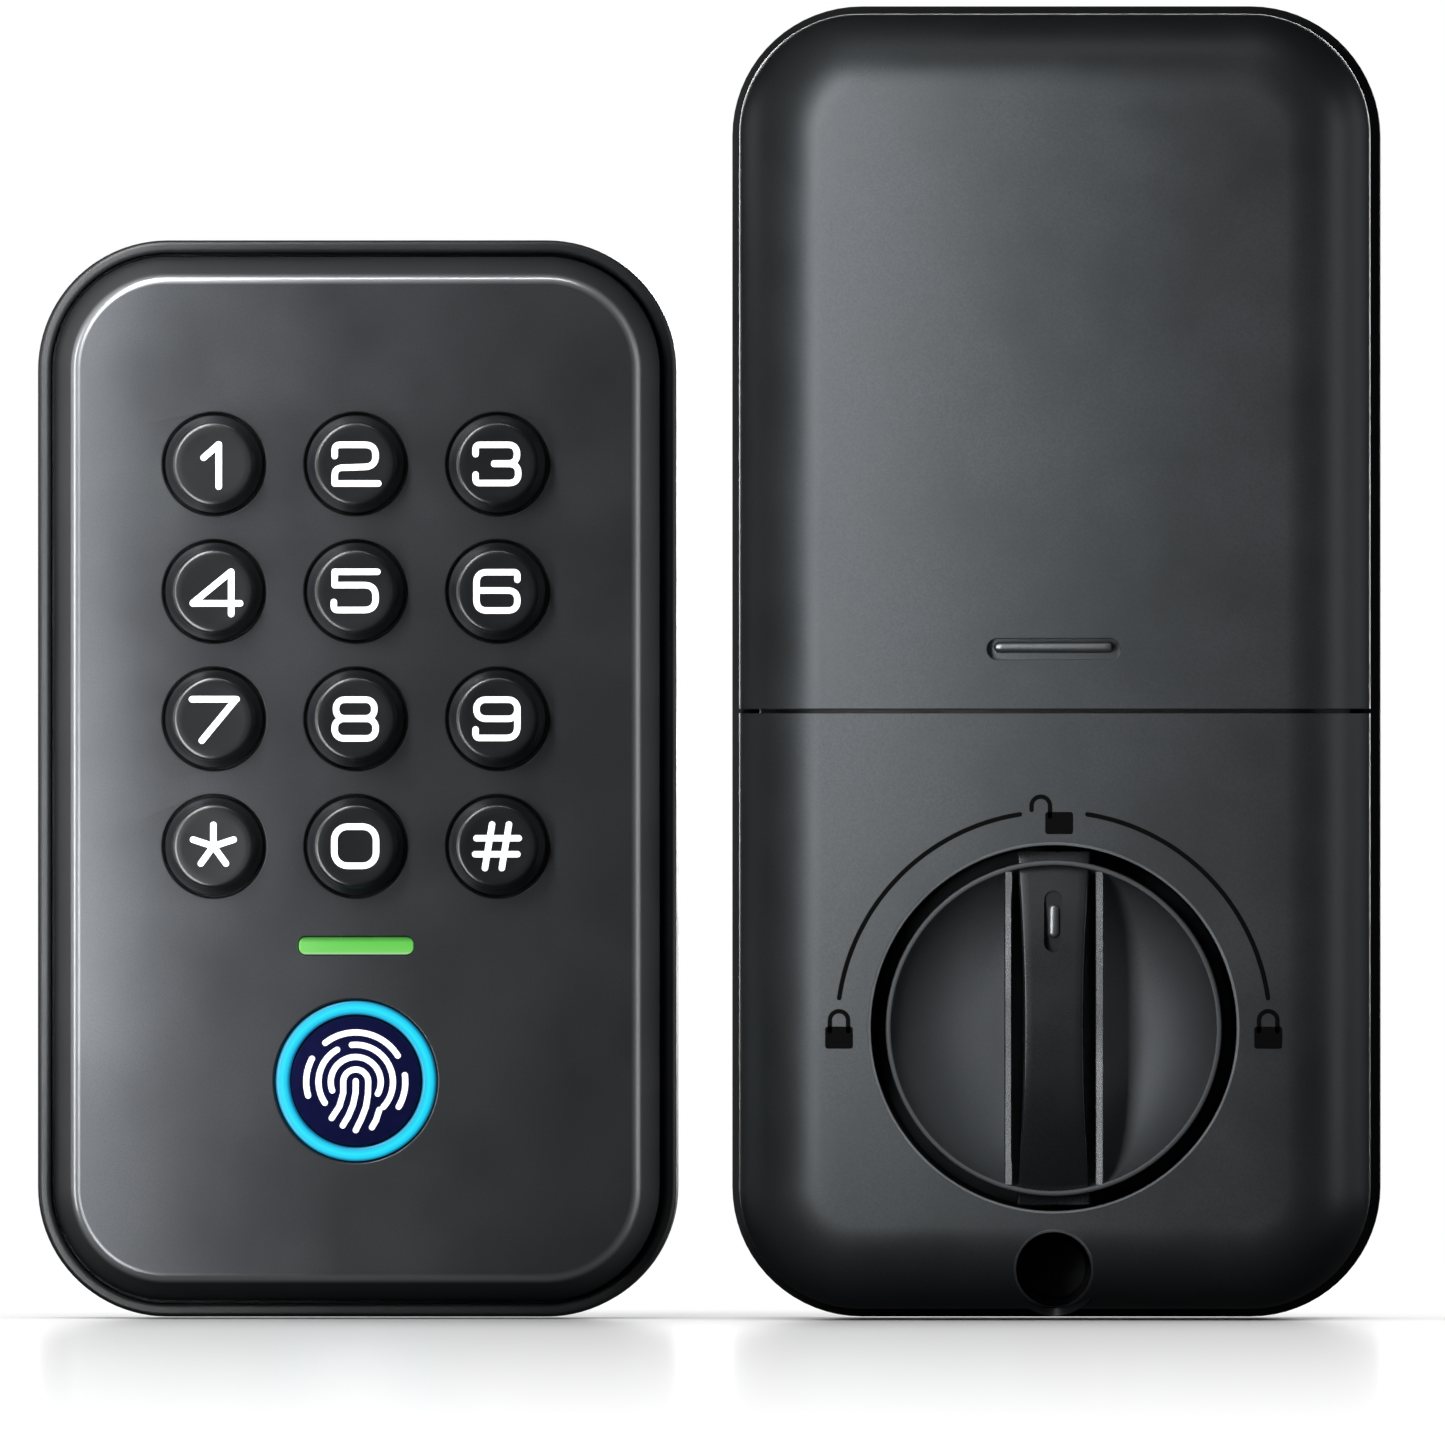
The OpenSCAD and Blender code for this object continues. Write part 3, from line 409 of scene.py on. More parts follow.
def finish(name, dark, light, rough, grain_mm, depth_mm, patch_mm=6.0, stretch=(1, 1, 1), **shader):
    """Grain of grain_mm and depth_mm, gloss between the two roughnesses, colour dark to light."""
    material, tree, principled, metres = blank(name)
    lay = add(tree, "Mapping", {"Vector": metres, "Scale": stretch}).outputs["Vector"]
    grain = add(tree, "TexNoise", {"Vector": lay, "Scale": 0.5 / (grain_mm * MM), "Detail": 3.0})
    patch = add(tree, "TexNoise", {"Vector": metres, "Scale": 0.5 / (patch_mm * MM), "Detail": 4.0})
    both = add(tree, "Math", {0: grain.outputs["Fac"], 1: patch.outputs["Fac"]}, operation="MULTIPLY")
    ramp = add(tree, "ValToRGB", {"Fac": both.outputs[0]})
    ramp.color_ramp.elements[0].position = 0.12
    ramp.color_ramp.elements[0].color = linear(dark)
    ramp.color_ramp.elements[1].position = 0.4
    ramp.color_ramp.elements[1].color = linear(light)
    gloss = mapped(tree, patch.outputs["Fac"], 0.3, 0.7, *rough)
    bump = add(tree, "Bump", {
        "Height": grain.outputs["Fac"], "Distance": depth_mm * MM, "Strength": 1.0})
    tree.links.new(ramp.outputs["Color"], principled.inputs["Base Color"])
    tree.links.new(gloss, principled.inputs["Roughness"])
    tree.links.new(bump.outputs["Normal"], principled.inputs["Normal"])
    for socket, value in shader.items():
        principled.inputs[socket.replace("_", " ")].default_value = value
    return material


# %% [markdown]
# The keypad's face is a zinc casting in satin graphite lacquer: a dark coat with metal flake in
# it, so it stays grey where light falls and never goes glossy black. The covers of the indoor
# unit are moulded in the same colour, a little softer in their shine. The housings are black
# moulded plastic with a fine spark texture, which hides the tool's marks.

# %% Lacquer, shells and black plastics
lacquer = finish("graphite_lacquer_on_zinc", "#404245", "#4a4c4f", (0.36, 0.42), 0.09, 0.003,
                 Metallic=0.72, IOR=1.5)
tree = lacquer.node_tree
principled = tree.nodes["Principled BSDF"]
# Along the rounded shoulder the lacquer turns light grey and glossier: the lighter colour is a painted
# highlight line, the lower roughness a glossier edge.
shoulder_highlight = add(tree, "Attribute", attribute_name="shoulder").outputs["Fac"]
plain = {name: principled.inputs[name].links[0].from_socket for name in ("Base Color", "Roughness")}
tint = add(tree, "Mix", {0: shoulder_highlight, 6: plain["Base Color"], 7: linear("#b4b7ba")}, data_type="RGBA")
calm = add(tree, "Mix", {0: shoulder_highlight, 2: plain["Roughness"], 3: 0.26}, data_type="FLOAT")
tree.links.new(tint.outputs[2], principled.inputs["Base Color"])
tree.links.new(calm.outputs[0], principled.inputs["Roughness"])
shell = finish("graphite_painted_abs", "#3a3d3f", "#44474a", (0.42, 0.48), 0.09, 0.003,
               Metallic=0.68, IOR=1.5)
black_abs = finish("spark_textured_black_abs", "#141619", "#1b1d20", (0.40, 0.52), 0.16, 0.012, IOR=1.54)
tray_abs = finish("matt_black_abs", "#101113", "#16181a", (0.62, 0.72), 0.16, 0.012, IOR=1.5,
                  Specular_IOR_Level=0.25)
inner_abs = finish("moulded_black_nylon", "#17181a", "#1f2022", (0.45, 0.6), 0.2, 0.008, IOR=1.53)
key_plastic = finish("hard_coated_black_polycarbonate", "#0f1114", "#14171a", (0.28, 0.36), 0.12, 0.0015,
                     IOR=1.58, Coat_Weight=0.25, Coat_Roughness=0.2)
rubber = finish("moulded_epdm_rubber", "#121212", "#1a1a1a", (0.7, 0.85), 0.3, 0.02, IOR=1.52)
silicone = finish("moulded_grey_silicone", "#3d4043", "#46494c", (0.5, 0.62), 0.4, 0.01,
                  IOR=1.41, Subsurface_Weight=0.05, Subsurface_Scale=0.001)

# %% [markdown]
# Bare metals keep the default index and show how they were worked: the thumbturn is satin
# painted zinc, and its chords are a far lighter zinc that paints highlight lines on them; screws
# are turned, springs are drawn wire, plates are rolled and show long fine streaks along the sheet.

# %% Metals
knob_zinc = finish("satin_black_cast_zinc", "#3a3d40", "#44474a", (0.52, 0.6), 0.1, 0.002,
                   Metallic=0.35)
grip_zinc = finish("polished_black_zinc", "#232527", "#2c2e30", (0.24, 0.3), 0.1, 0.001, Metallic=0.5)
# A light copy of the thumbturn zinc: it paints the highlight lines along the chords.
chord_highlight_zinc = finish("painted_highlight_zinc_edge", "#a8abae", "#bcbfc2", (0.18, 0.25), 0.1, 0.001,
                     Metallic=1.0)
screw_steel = finish("zinc_plated_turned_steel", "#9ea1a3", "#b4b6b7", (0.22, 0.34), 0.08, 0.004,
                     2.0, (1, 6, 1), Metallic=1.0)
black_screw = finish("black_oxide_steel", "#1c1d1f", "#27282a", (0.3, 0.42), 0.1, 0.004, Metallic=0.9)
plate_steel = finish("rolled_zinc_plated_plate", "#9a9c9d", "#aeb0b0", (0.28, 0.42), 0.15, 0.006,
                     8.0, (0.12, 1, 1), Metallic=1.0)
spring_steel = finish("drawn_nickel_plated_wire", "#b0aea8", "#c4c2bb", (0.2, 0.3), 0.08, 0.002,
                      Metallic=1.0)
brass = finish("turned_brass", "#b08d4a", "#c9a75f", (0.2, 0.32), 0.08, 0.003,
               2.0, (1, 5, 1), Metallic=1.0)
chassis_zinc = finish("die_cast_bare_zinc", "#84878a", "#999c9e", (0.4, 0.55), 0.35, 0.02, Metallic=0.9)
motor_can = finish("drawn_nickel_can", "#a6a6a2", "#bdbdb8", (0.18, 0.3), 0.1, 0.002,
                   4.0, (1, 1, 0.2), Metallic=1.0)
# A light grey copy of the cover paint: it paints highlight lines on the lips round the wells, on the grip
# rib and on the pointer bead.
light_paint_highlight = finish("painted_highlight_satin_edge", "#6c7073", "#7b7f82", (0.3, 0.36), 0.1, 0.001, Metallic=0.8)
spindle_steel = finish("milled_bright_steel", "#a3a5a7", "#bbbcbd", (0.2, 0.32), 0.1, 0.004,
                       3.0, (6, 1, 1), Metallic=1.0)

# %% [markdown]
# The rest is small: connector nylon, gear acetal, lens light, print. Print is a matt ink film for
# the dial marks, and for the legends a translucent white lit a little from behind.

# %% Small plastics and inks
connector = finish("natural_nylon_connector", "#d9d4c6", "#e6e2d6", (0.4, 0.5), 0.2, 0.005, IOR=1.53)
acetal = finish("white_moulded_acetal", "#d8d8d4", "#e6e6e2", (0.3, 0.42), 0.2, 0.003, IOR=1.48)
dial_ink = finish("black_pad_print", "#030303", "#060607", (0.8, 0.9), 0.1, 0.001, IOR=1.2)


def lamp(name, colour, stops, strength, measure, rough=0.35):
    """A lens lit from behind: its light follows the stops (place, colour) along a measure 0 to 1."""
    material, tree, principled, metres = blank(name)
    uneven = add(tree, "TexNoise", {"Vector": metres, "Scale": 0.5 / (1.2 * MM), "Detail": 2.0})
    wander = mapped(tree, uneven.outputs["Fac"], 0.0, 1.0, -0.03, 0.03)
    place_on = add(tree, "Math", {0: measure(tree, metres), 1: wander}, operation="ADD")
    ramp = add(tree, "ValToRGB", {"Fac": place_on.outputs[0]})
    elements = ramp.color_ramp.elements
    while len(elements) < len(stops):
        elements.new(0.5)
    for element, (position, code) in zip(elements, stops):
        element.position = position
        element.color = linear(code)
    tree.links.new(ramp.outputs["Color"], principled.inputs["Emission Color"])
    principled.inputs["Emission Strength"].default_value = strength
    principled.inputs["Base Color"].default_value = linear(colour)
    principled.inputs["Roughness"].default_value = rough
    principled.inputs["IOR"].default_value = 1.49
    return material


def height_in(low, high):
    """A measure: how high a point lies between two heights."""
    def measure(tree, metres):
        z = add(tree, "SeparateXYZ", {"Vector": metres}).outputs["Z"]
        return mapped(tree, z, low, high)
    return measure


# %% [markdown]
# Printed circuit boards show a green lacquer over copper tracks. A brick pattern with long bricks
# gives runs of track about half a millimetre wide, raised and lighter than the board.

# %% Circuit board and battery wrap
def board_finish(name, mask, track):
    """Solder mask with raised tracks 0.5 mm wide, 1.6 mm apart."""
    material, tree, principled, metres = blank(name)
    facing = add(tree, "Mapping", {"Vector": metres, "Rotation": (math.pi / 2, 0, 0)})
    tracks = add(tree, "TexBrick", {
        "Vector": facing.outputs["Vector"], "Scale": 1 / (10 * MM) / 5, "Mortar Size": 0.02,
        "Brick Width": 0.9, "Row Height": 0.16, "Color1": linear(mask), "Color2": linear(mask),
        "Mortar": linear(track)})
    bump = add(tree, "Bump", {"Height": tracks.outputs["Fac"], "Distance": 0.03 * MM})
    tree.links.new(tracks.outputs["Color"], principled.inputs["Base Color"])
    tree.links.new(bump.outputs["Normal"], principled.inputs["Normal"])
    principled.inputs["Roughness"].default_value = 0.3
    principled.inputs["IOR"].default_value = 1.5
    return material


circuit_board = board_finish("green_masked_fr4_board", "#0e4a2a", "#1d6b3f")
cell_low, cell_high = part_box("batteries")


def cell_finish():
    """Shrink wrap: black, copper-coloured at the plus end; every other cell is turned over."""
    material, tree, principled, metres = blank("printed_shrink_wrap_on_cells")
    parted = add(tree, "SeparateXYZ", {"Vector": metres}).outputs
    height = mapped(tree, parted["Z"], cell_low.z, cell_high.z)
    count = mapped(tree, parted["X"], cell_low.x, cell_high.x, 0.0, 4.0)
    whole = add(tree, "Math", {0: count}, operation="FLOOR")
    turned = add(tree, "Math", {0: whole.outputs[0], 1: 2.0}, operation="MODULO")
    apart = add(tree, "Math", {0: turned.outputs[0], 1: height}, operation="SUBTRACT")
    along = add(tree, "Math", {0: apart.outputs[0]}, operation="ABSOLUTE")
    band = add(tree, "ValToRGB", {"Fac": along.outputs[0]})
    band.color_ramp.interpolation = "CONSTANT"
    band.color_ramp.elements[0].color = linear("#202226")
    band.color_ramp.elements[1].position = 0.72
    band.color_ramp.elements[1].color = linear("#a8683a")
    wrinkle = add(tree, "TexNoise", {"Vector": metres, "Scale": 0.5 / (0.8 * MM), "Detail": 3.0})
    bump = add(tree, "Bump", {"Height": wrinkle.outputs["Fac"], "Distance": 0.01 * MM})
    tree.links.new(band.outputs["Color"], principled.inputs["Base Color"])
    tree.links.new(bump.outputs["Normal"], principled.inputs["Normal"])
    principled.inputs["Roughness"].default_value = 0.22
    principled.inputs["IOR"].default_value = 1.55
    return material


cell_wrap = cell_finish()
sensor_glass = finish("smoked_glass_over_navy", "#0c0e34", "#10123f", (0.1, 0.16), 0.4, 0.0005, IOR=1.52)
bar_low, bar_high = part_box("status_light_bar")
# The bar's glow is whitish at its bottom edge and turns deep green along its top edge; that dark top is a
# painted shadow line.
green_lens = lamp("green_acrylic_light_bar", "#24401f", [
    (0.0, "#b9d8b4"), (0.16, "#74d95f"), (0.7, "#66cf52"), (1.0, "#2e7a28")],
    0.9, height_in(bar_low.z, bar_high.z))
up_keypad = height_in(0, kp_h * MM)
legend = lamp("backlit_white_legend", "#dfe4e8", [(0.0, "#f4f6f8"), (1.0, "#ffffff")], 0.75, up_keypad)
led_package = lamp("amber_phosphor_led_package", "#4a4228", [(0.0, "#d8b860"), (1.0, "#d8b860")],
                   0.01, up_keypad)
print("finishes:", len(bpy.data.materials))


# %% [markdown]
# ## The keypad unit
# The back housing is a moulded tray. Its rim stands round the face like a picture frame, with an
# edge rounded by the mould, and the face sits on a ledge inside it. The outline is carried along
# the profile of the wall: floor, ledge, inner wall, rim, outside. Holes for the two inserts, the
# cable, four screws and the port below are then cut through it.

# %% Keypad back housing
corner_r, rim, ledge_in, ledge_d = 14.0, 1.4, 3.2, 8.98
bend = arc(0, 90, 10)


def tray(middle_x, w, h, back, front, wall_t, floor_t, edge):
    """Rings of a tray: its floor, up the inner wall, round the rim and down the outside."""
    over = np.concatenate([
        np.stack([wall_t - edge + edge * np.cos(bend), front - edge + edge * np.sin(bend)], -1),
        np.stack([edge - edge * np.sin(bend), front - edge + edge * np.cos(bend)], -1)])
    heel = np.stack([edge - edge * np.cos(bend), back + edge - edge * np.sin(bend)], -1)
    inside = [[ledge_in, back + floor_t], [ledge_in, ledge_d], [wall_t, ledge_d]]
    return loft(middle_x, w, h, corner_r, np.concatenate([inside, over, heel]))


back_d = depths("keypad_back_housing")[0]
housing = new_piece(
    "outdoor_housing", [closed_rings(tray(kp_x, kp_w, kp_h, back_d, rim_d, rim, 2.0, 0.5))],
    "keypad_unit", black_abs)
floor_d, seat_d = back_d + 3.0, back_d + 1.3
insert_x, cable_up, screw_x, screw_ups, port_d = 21, 43.3, 25.5, (10.8, 105.5), 7
holes = [disc(kp_x + x, z, [0, r, r, 0], [0, 0, floor_d, floor_d], 48)
         for x, z, r in ((-insert_x, bore_up, 4.05), (insert_x, bore_up, 4.05), (0, cable_up, 5.05))]
holes += [disc(kp_x + x, z, [0, 2.6, 2.6, 1.5, 1.5, 0], [0, 0, seat_d, seat_d, floor_d, floor_d], 32)
          for x in (-screw_x, screw_x) for z in screw_ups]
port_ring = bar_ring(0, port_d, 9.3, 3.5, 1.74, 10)
holes.append(closed_rings(np.stack([
    place(kp_x, port_ring[:, 0], z, port_ring[:, 1]) for z in (-1.0, 4.2)])))
cut(housing, holes)
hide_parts("keypad_back_housing")

# %% [markdown]
# The face is one casting: a skirt that drops into the housing, a sloped border, a small rounded
# shoulder that catches the light as a bright line, and a flat field with twelve round holes, a
# slot for the light bar and the round window of the sensor. The outer skin is a loft of the
# outline; the flat field is filled between the last ring and the holes; short walls join it to
# the same field 2 mm behind, and an inner skin closes the shell. The round holes have a broken
# edge, and the bar's slot has plain walls, so the bar fills it to the line.

# %% Keypad face
key_names = ["1", "2", "3", "4", "5", "6", "7", "8", "9", "star", "0", "hash"]
key_spots = []
for name in key_names:
    key_spots.append((span("key_" + name)[2] - kp_x, middle_up("key_" + name)))
skirt_d, bevel_d, shoulder_d = 9.0, 15.0, 19.8
shoulder = np.stack([3.6 + 1.2 * (1 - np.cos(bend)), shoulder_d + 1.2 * np.sin(bend)], -1)
outer = np.concatenate([[[1.8, skirt_d], [1.8, bevel_d - 0.2], [1.87, bevel_d]], shoulder])
inner = np.array([[6.2, face_d - 2], [5.2, face_d - 2.4], [3.3, bevel_d - 0.2], [3.3, skirt_d]])
ring_up = middle_up("fingerprint_light_ring")
bar_up, bar_size = middle_up("status_light_bar"), (bar_high - bar_low) / MM


def hole_rings(grow):
    """Outlines of the face's holes: the round ones grow, the bar's slot stays 0.15 mm clear."""
    rings = [circle(x, z, 5.55 + grow) for x, z in key_spots]
    rings.append(circle(0, ring_up, 8.82 + grow, 96))
    rings.append(bar_ring(0, bar_up, bar_size.x + 0.3, bar_size.z + 0.3, 0.9))
    return rings


edge_steps = [(0.22, 0.0), (0.10, 0.05), (0.03, 0.14), (0.0, 0.28), (0.0, 2.0)]
skins = np.concatenate([inner, outer])
grid = loft(kp_x, kp_w, kp_h, corner_r, skins)
parts = [(grid, grid_faces(len(skins), grid.shape[1], close_columns=True).tolist())]
parts.append(filled(kp_x, [outline(kp_w, kp_h, corner_r, skins[-1, 0])] + hole_rings(0.22), face_d))
parts.append(filled(kp_x, [outline(kp_w, kp_h, corner_r, skins[0, 0])] + hole_rings(0.0), face_d - 2))
for rings in zip(*[hole_rings(grow) for grow, _ in edge_steps]):
    parts.append(wall(kp_x, rings, [face_d - down for _, down in edge_steps]))
face = new_piece("keypad_face", parts, "keypad_unit", lacquer, 30)
level = face.modifiers.new("level field", "WEIGHTED_NORMAL")
level.keep_sharp = True
# A band 4.1 mm in from the outline, on the shoulder, gets the lacquer's painted highlight colour.
points = np.empty(len(face.data.vertices) * 3)
face.data.vertices.foreach_get("co", points)
across, out, up = (points.reshape(-1, 3) / MM).T
across, out = across - kp_x, DOOR_Y - out
sx = (np.abs(across) - (kp_w / 2 - corner_r)).clip(0)
sz = (np.abs(up - kp_h / 2) - (kp_h / 2 - corner_r)).clip(0)
straight = np.minimum(kp_w / 2 - np.abs(across), kp_h / 2 - np.abs(up - kp_h / 2))
inset = np.where((sx > 0) & (sz > 0), corner_r - np.hypot(sx, sz), straight)
middle = 1 - np.abs(inset - 4.1) / 0.62
shoulder_highlight_band = (middle.clip(0, 1) * (out > shoulder_d - 0.1)).astype(np.float32)
face.data.attributes.new("shoulder", "FLOAT", "POINT").data.foreach_set("value", shoulder_highlight_band)
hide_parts("keypad_face_shell")
print("keypad face:", len(face.data.vertices), "vertices")

# %% [markdown]
# A key is a small turned-looking button: a hidden flange keeps it behind the face, a steep side
# rises from the hole, and a soft shoulder runs into a top that is dished a tenth of a millimetre
# for the fingertip. One profile, swept round the key's axis, makes them all.

# %% Keys
key_back, key_front = depths("key_5")
fillet = arc(0, 90, 6)
key_profile = np.concatenate([
    [[0.0, key_back], [6.05, key_back], [6.05, key_back + 1.4], [5.25, key_back + 1.4],
     [5.25, face_d + 0.55], [5.18, face_d + 0.8], [4.62, key_front - 0.62]],
    np.stack([3.95 + 0.62 * np.cos(fillet), key_front - 0.55 + 0.55 * np.sin(fillet)], -1),
    [[3.3, key_front - 0.03], [2.2, key_front - 0.07], [0.0, key_front - 0.09]]])
for name, (x, z) in zip(key_names, key_spots):
    key = new_piece("keycap_" + name, [disc(kp_x + x, z, key_profile[:, 0], key_profile[:, 1], 64)],
                    f"key_{name}_button", key_plastic, 40)
    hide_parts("key_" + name)

# %% [markdown]
# The legends are plain digits of even line with round corners, 5 mm tall, drawn here as paths.
# The corners turn over 1.4 mm, and boxes that close on themselves are their own rings.

# %% Legends
def box_path(half_w, low, high, radius=1.3):
    """A closed rounded box as a ring."""
    return (bar_ring(0, (low + high) / 2, 2 * half_w, high - low, radius), "closed")


digits = {
    "1": [[(0.6, -2.55), (0.6, 2.2)], [(0.6, 2.2), (-1.1, 0.7)]],
    "2": [rounded([(-2.3, 0.9), (-2.3, 2.15), (2.3, 2.15), (2.3, -0.3), (-2.3, -0.45),
                   (-2.3, -2.2)], 1.3),
          [(-2.3, -2.2), (2.6, -2.2)]],
    "3": [rounded([(-2.4, 1.1), (-2.4, 2.15), (2.25, 2.15), (2.25, 0.05), (-0.3, 0.05)], 1.2),
          rounded([(-0.3, 0.0), (2.4, 0.0), (2.4, -2.15), (-2.4, -2.15), (-2.4, -1.2)], 1.2)],
    "4": [[(2.0, 2.2), (2.0, -2.55)], [(-2.3, -1.35), (3.0, -1.35)], [(-2.3, -1.3), (1.9, 2.15)]],
    "5": [[(2.5, 2.2), (-2.3, 2.2)], [(-2.3, 2.2), (-2.3, 0.7)],
          rounded([(-2.3, 0.7), (2.3, 0.7), (2.3, -2.1), (-2.4, -2.1), (-2.4, -1.2)], 1.3)],
    "6": [rounded([(2.3, 1.3), (2.3, 2.15), (-2.3, 2.15), (-2.3, -2.15), (2.3, -2.15),
                   (2.3, 0.1), (-2.2, 0.1)], 1.2)],
    "7": [[(-2.4, 2.2), (2.6, 2.2)], [(2.5, 2.15), (-1.3, -2.45)]],
    "8": [box_path(2.15, 0.05, 2.15, 0.95), box_path(2.3, -2.2, 0.0, 1.0)],
    "9": [box_path(2.3, 0.0, 2.15, 1.0),
          rounded([(2.3, 1.0), (2.3, -2.15), (-2.4, -2.15), (-2.4, -1.2)], 1.3)],
    "0": [box_path(2.35, -2.2, 2.2, 1.5)],
    "hash": [[(-0.55, 2.45), (-1.35, -2.45)], [(1.35, 2.45), (0.55, -2.45)],
             [(-2.3, 0.9), (2.45, 0.9)], [(-2.45, -0.9), (2.3, -0.9)]],
    "star": [[(0, 0), (2.4 * math.cos(t), 2.4 * math.sin(t))] for t in arc(90, 378, 5)],
}
for name, (x, z) in zip(key_names, key_spots):
    paths = [(p[0] * 0.96, "closed") if isinstance(p, tuple) else np.array(p, float) * 0.96
             for p in digits[name]]
    new_piece("legend_" + name, printed(kp_x, paths, 0.7, key_front - 0.04, 0.05, (x, z)),
              f"key_{name}_button", legend)
print("legends:", len(digits))

# %% [markdown]
# The status bar is an acrylic light guide, crowned a little. The sensor sits in a light ring of
# rounded section; its disc is smoked glass printed with a ridge symbol of the lesson's own:
# nested arches with open ends, 1.35 mm apart.

# %% Light bar, light ring and sensor
bar_rings = [bar_ring(0, bar_up, bar_size.x - s, bar_size.z - s, 0.75 - s / 2)
             for s in (0, 0, 0.12, 0.4)]
bar_outs = [face_d - 3.5, face_d - 0.12, face_d - 0.03, face_d]
light_bar = new_piece("green_light_bar", [closed_rings(rings_at(kp_x, bar_rings, bar_outs))],
                      "keypad_unit", green_lens, 20)
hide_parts("status_light_bar")


def across_ring(tree, metres):
    """A measure: distance from the ring's axis, 0 at its inner edge and 1 at its outer edge."""
    middle = (-kp_x * MM, 0, -ring_up * MM)
    local = add(tree, "Mapping", {"Vector": metres, "Location": middle, "Scale": (1, 0, 1)})
    reach = add(tree, "VectorMath", {0: local.outputs["Vector"]}, operation="LENGTH").outputs["Value"]
    return mapped(tree, reach, 7.15 * MM, 8.7 * MM)


ring_lens = lamp("cyan_acrylic_light_ring", "#0c2c3c", [
    (0.0, "#123c78"), (0.2, "#12c4ec"), (0.5, "#1ceafe"), (0.78, "#14ccf4"), (1.0, "#0d3350")],
    0.95, across_ring)
ring_front = depths("fingerprint_light_ring")[1]
outer_r, inner_r, soft = 8.65, 7.2, 0.28
section = np.concatenate([
    [[outer_r, ring_front - 4.1]],
    np.stack([outer_r - soft + soft * np.cos(fillet), ring_front - soft + soft * np.sin(fillet)], -1),
    np.stack([inner_r + soft - soft * np.sin(fillet), ring_front - soft + soft * np.cos(fillet)], -1),
    [[inner_r, ring_front - 4.1]]])
light_ring = new_piece("cyan_light_ring", [revolved(kp_x, ring_up, section[:, 0], section[:, 1], 128)],
                       "keypad_unit", ring_lens)
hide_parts("fingerprint_light_ring")

glass_back, glass_front = depths("fingerprint_sensor")
glass_out = [glass_back, glass_back, glass_front - 0.2, glass_front - 0.06, glass_front - 0.05]
glass = new_piece("sensor_glass_disc", [disc(kp_x, ring_up, [0, 6.95, 6.95, 6.85, 0], glass_out)],
                  "keypad_unit", sensor_glass)
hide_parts("fingerprint_sensor")


def ridge(radius, start, stop, up=0.0):
    """One arch of a ridge symbol."""
    a = arc(start, stop, 40)
    return np.stack([radius * np.cos(a), up + radius * np.sin(a)], -1)


ridges = [
    ridge(5.35, 32, 128), ridge(5.35, 152, 196), ridge(5.35, -30, 8),
    ridge(4.02, -42, 96), ridge(4.02, 120, 214), ridge(2.7, -28, 200),
    np.concatenate([ridge(1.35, 0, 180), [(-1.35, -1.2), (-1.75, -2.6), (-2.6, -3.9)]]),
    np.array([(1.35, 0.0), (1.32, -1.3), (1.1, -2.7), (0.6, -4.0), (0.0, -5.2)]),
    np.array([(0.0, 0.1), (-0.02, -1.2), (-0.3, -2.5), (-0.8, -3.7), (-1.4, -4.7)]),
    np.array([(2.55, -3.0), (2.2, -4.1), (1.75, -4.9)])]
new_piece("sensor_ridge_symbol",
          printed(kp_x, ridges, 0.66, glass_front - 0.05, 0.04, (0, ring_up - 0.1)),
          "keypad_unit", legend)

# %% [markdown]
# ## The indoor unit
# Both covers are one pillow, split across the middle: upright sides, then a quarter ellipse that
# runs over into a flat front. The pillow is lofted whole, inside and out, so the two halves match
# to the hair at the split, and each cover is what a straight cut leaves. An exact cut keeps the
# loft's points, and a small bevel then breaks every edge that the cuts made.

# %% Pillow and covers
side_inset, pillow, flat_d = 1.0, 9.0, front_d
round_d = flat_d - pillow
parting = 65.4
parting_low = parting - 0.225
parting_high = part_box("battery_cover")[0].z / MM
sweep = arc(0, 90, 22)


def pillow_out(inset):
    """How far out the front lies at an inset: a quarter ellipse, level from the flat on."""
    run = np.clip((side_inset + pillow - inset) / pillow, 0, 1)
    return round_d + pillow * np.sqrt(1 - run**2)


def pillow_shell(back, skin=0.0, thick=2.0):
    """The pillow as a shell, open at the back; its outside lies skin below the true surface."""
    sides = []
    for depth in (skin + thick, skin):
        r = pillow - depth
        sides.append(np.stack([
            side_inset + depth + r * (1 - np.cos(sweep)), round_d + r * np.sin(sweep)], -1))
    inner, outer = sides
    profile = np.concatenate([
        inner[::-1], [[inner[0, 0], back]], [[outer[0, 0], back]],
        [[outer[0, 0], (back + round_d) / 2]], outer])
    return closed_rings(loft(in_x, in_w, in_h, corner_r, profile))


def soften(piece, width, segments=3, angle=32):
    """Breaks the sharp edges of a piece by a width in millimetres."""
    bevel = piece.modifiers.new("broken edges", "BEVEL")
    bevel.width = width * MM
    bevel.segments = segments
    bevel.limit_method = "ANGLE"
    bevel.angle_limit = math.radians(angle)
    bevel.harden_normals = True
    return piece


well_r, screw_r, screw_up = 19.7, 4.05, 5.3
cover = new_piece("front_cover", [pillow_shell(12.0)], "indoor_unit", shell)
cut(cover, [block(in_x, (-60, 60), (parting_low, 200), (0, 60)),
            disc(in_x, bore_up, [0, well_r, well_r, 0], [20, 20, 60, 60], 160),
            disc(in_x, screw_up, [0, screw_r, screw_r, 0], [5, 5, 60, 60], 64)])
soften(cover, 0.22)
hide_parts("indoor_front_cover")

lip_low, lip_high = 62.5, 67.2
lip = new_piece("parting_lip", [pillow_shell(12.3, 2.2, 1.0)],
                "indoor_unit", black_abs)
cut(lip, [block(in_x, (-60, 60), (-60, lip_low), (0, 60)),
          block(in_x, (-60, 60), (lip_high, 200), (0, 60))])

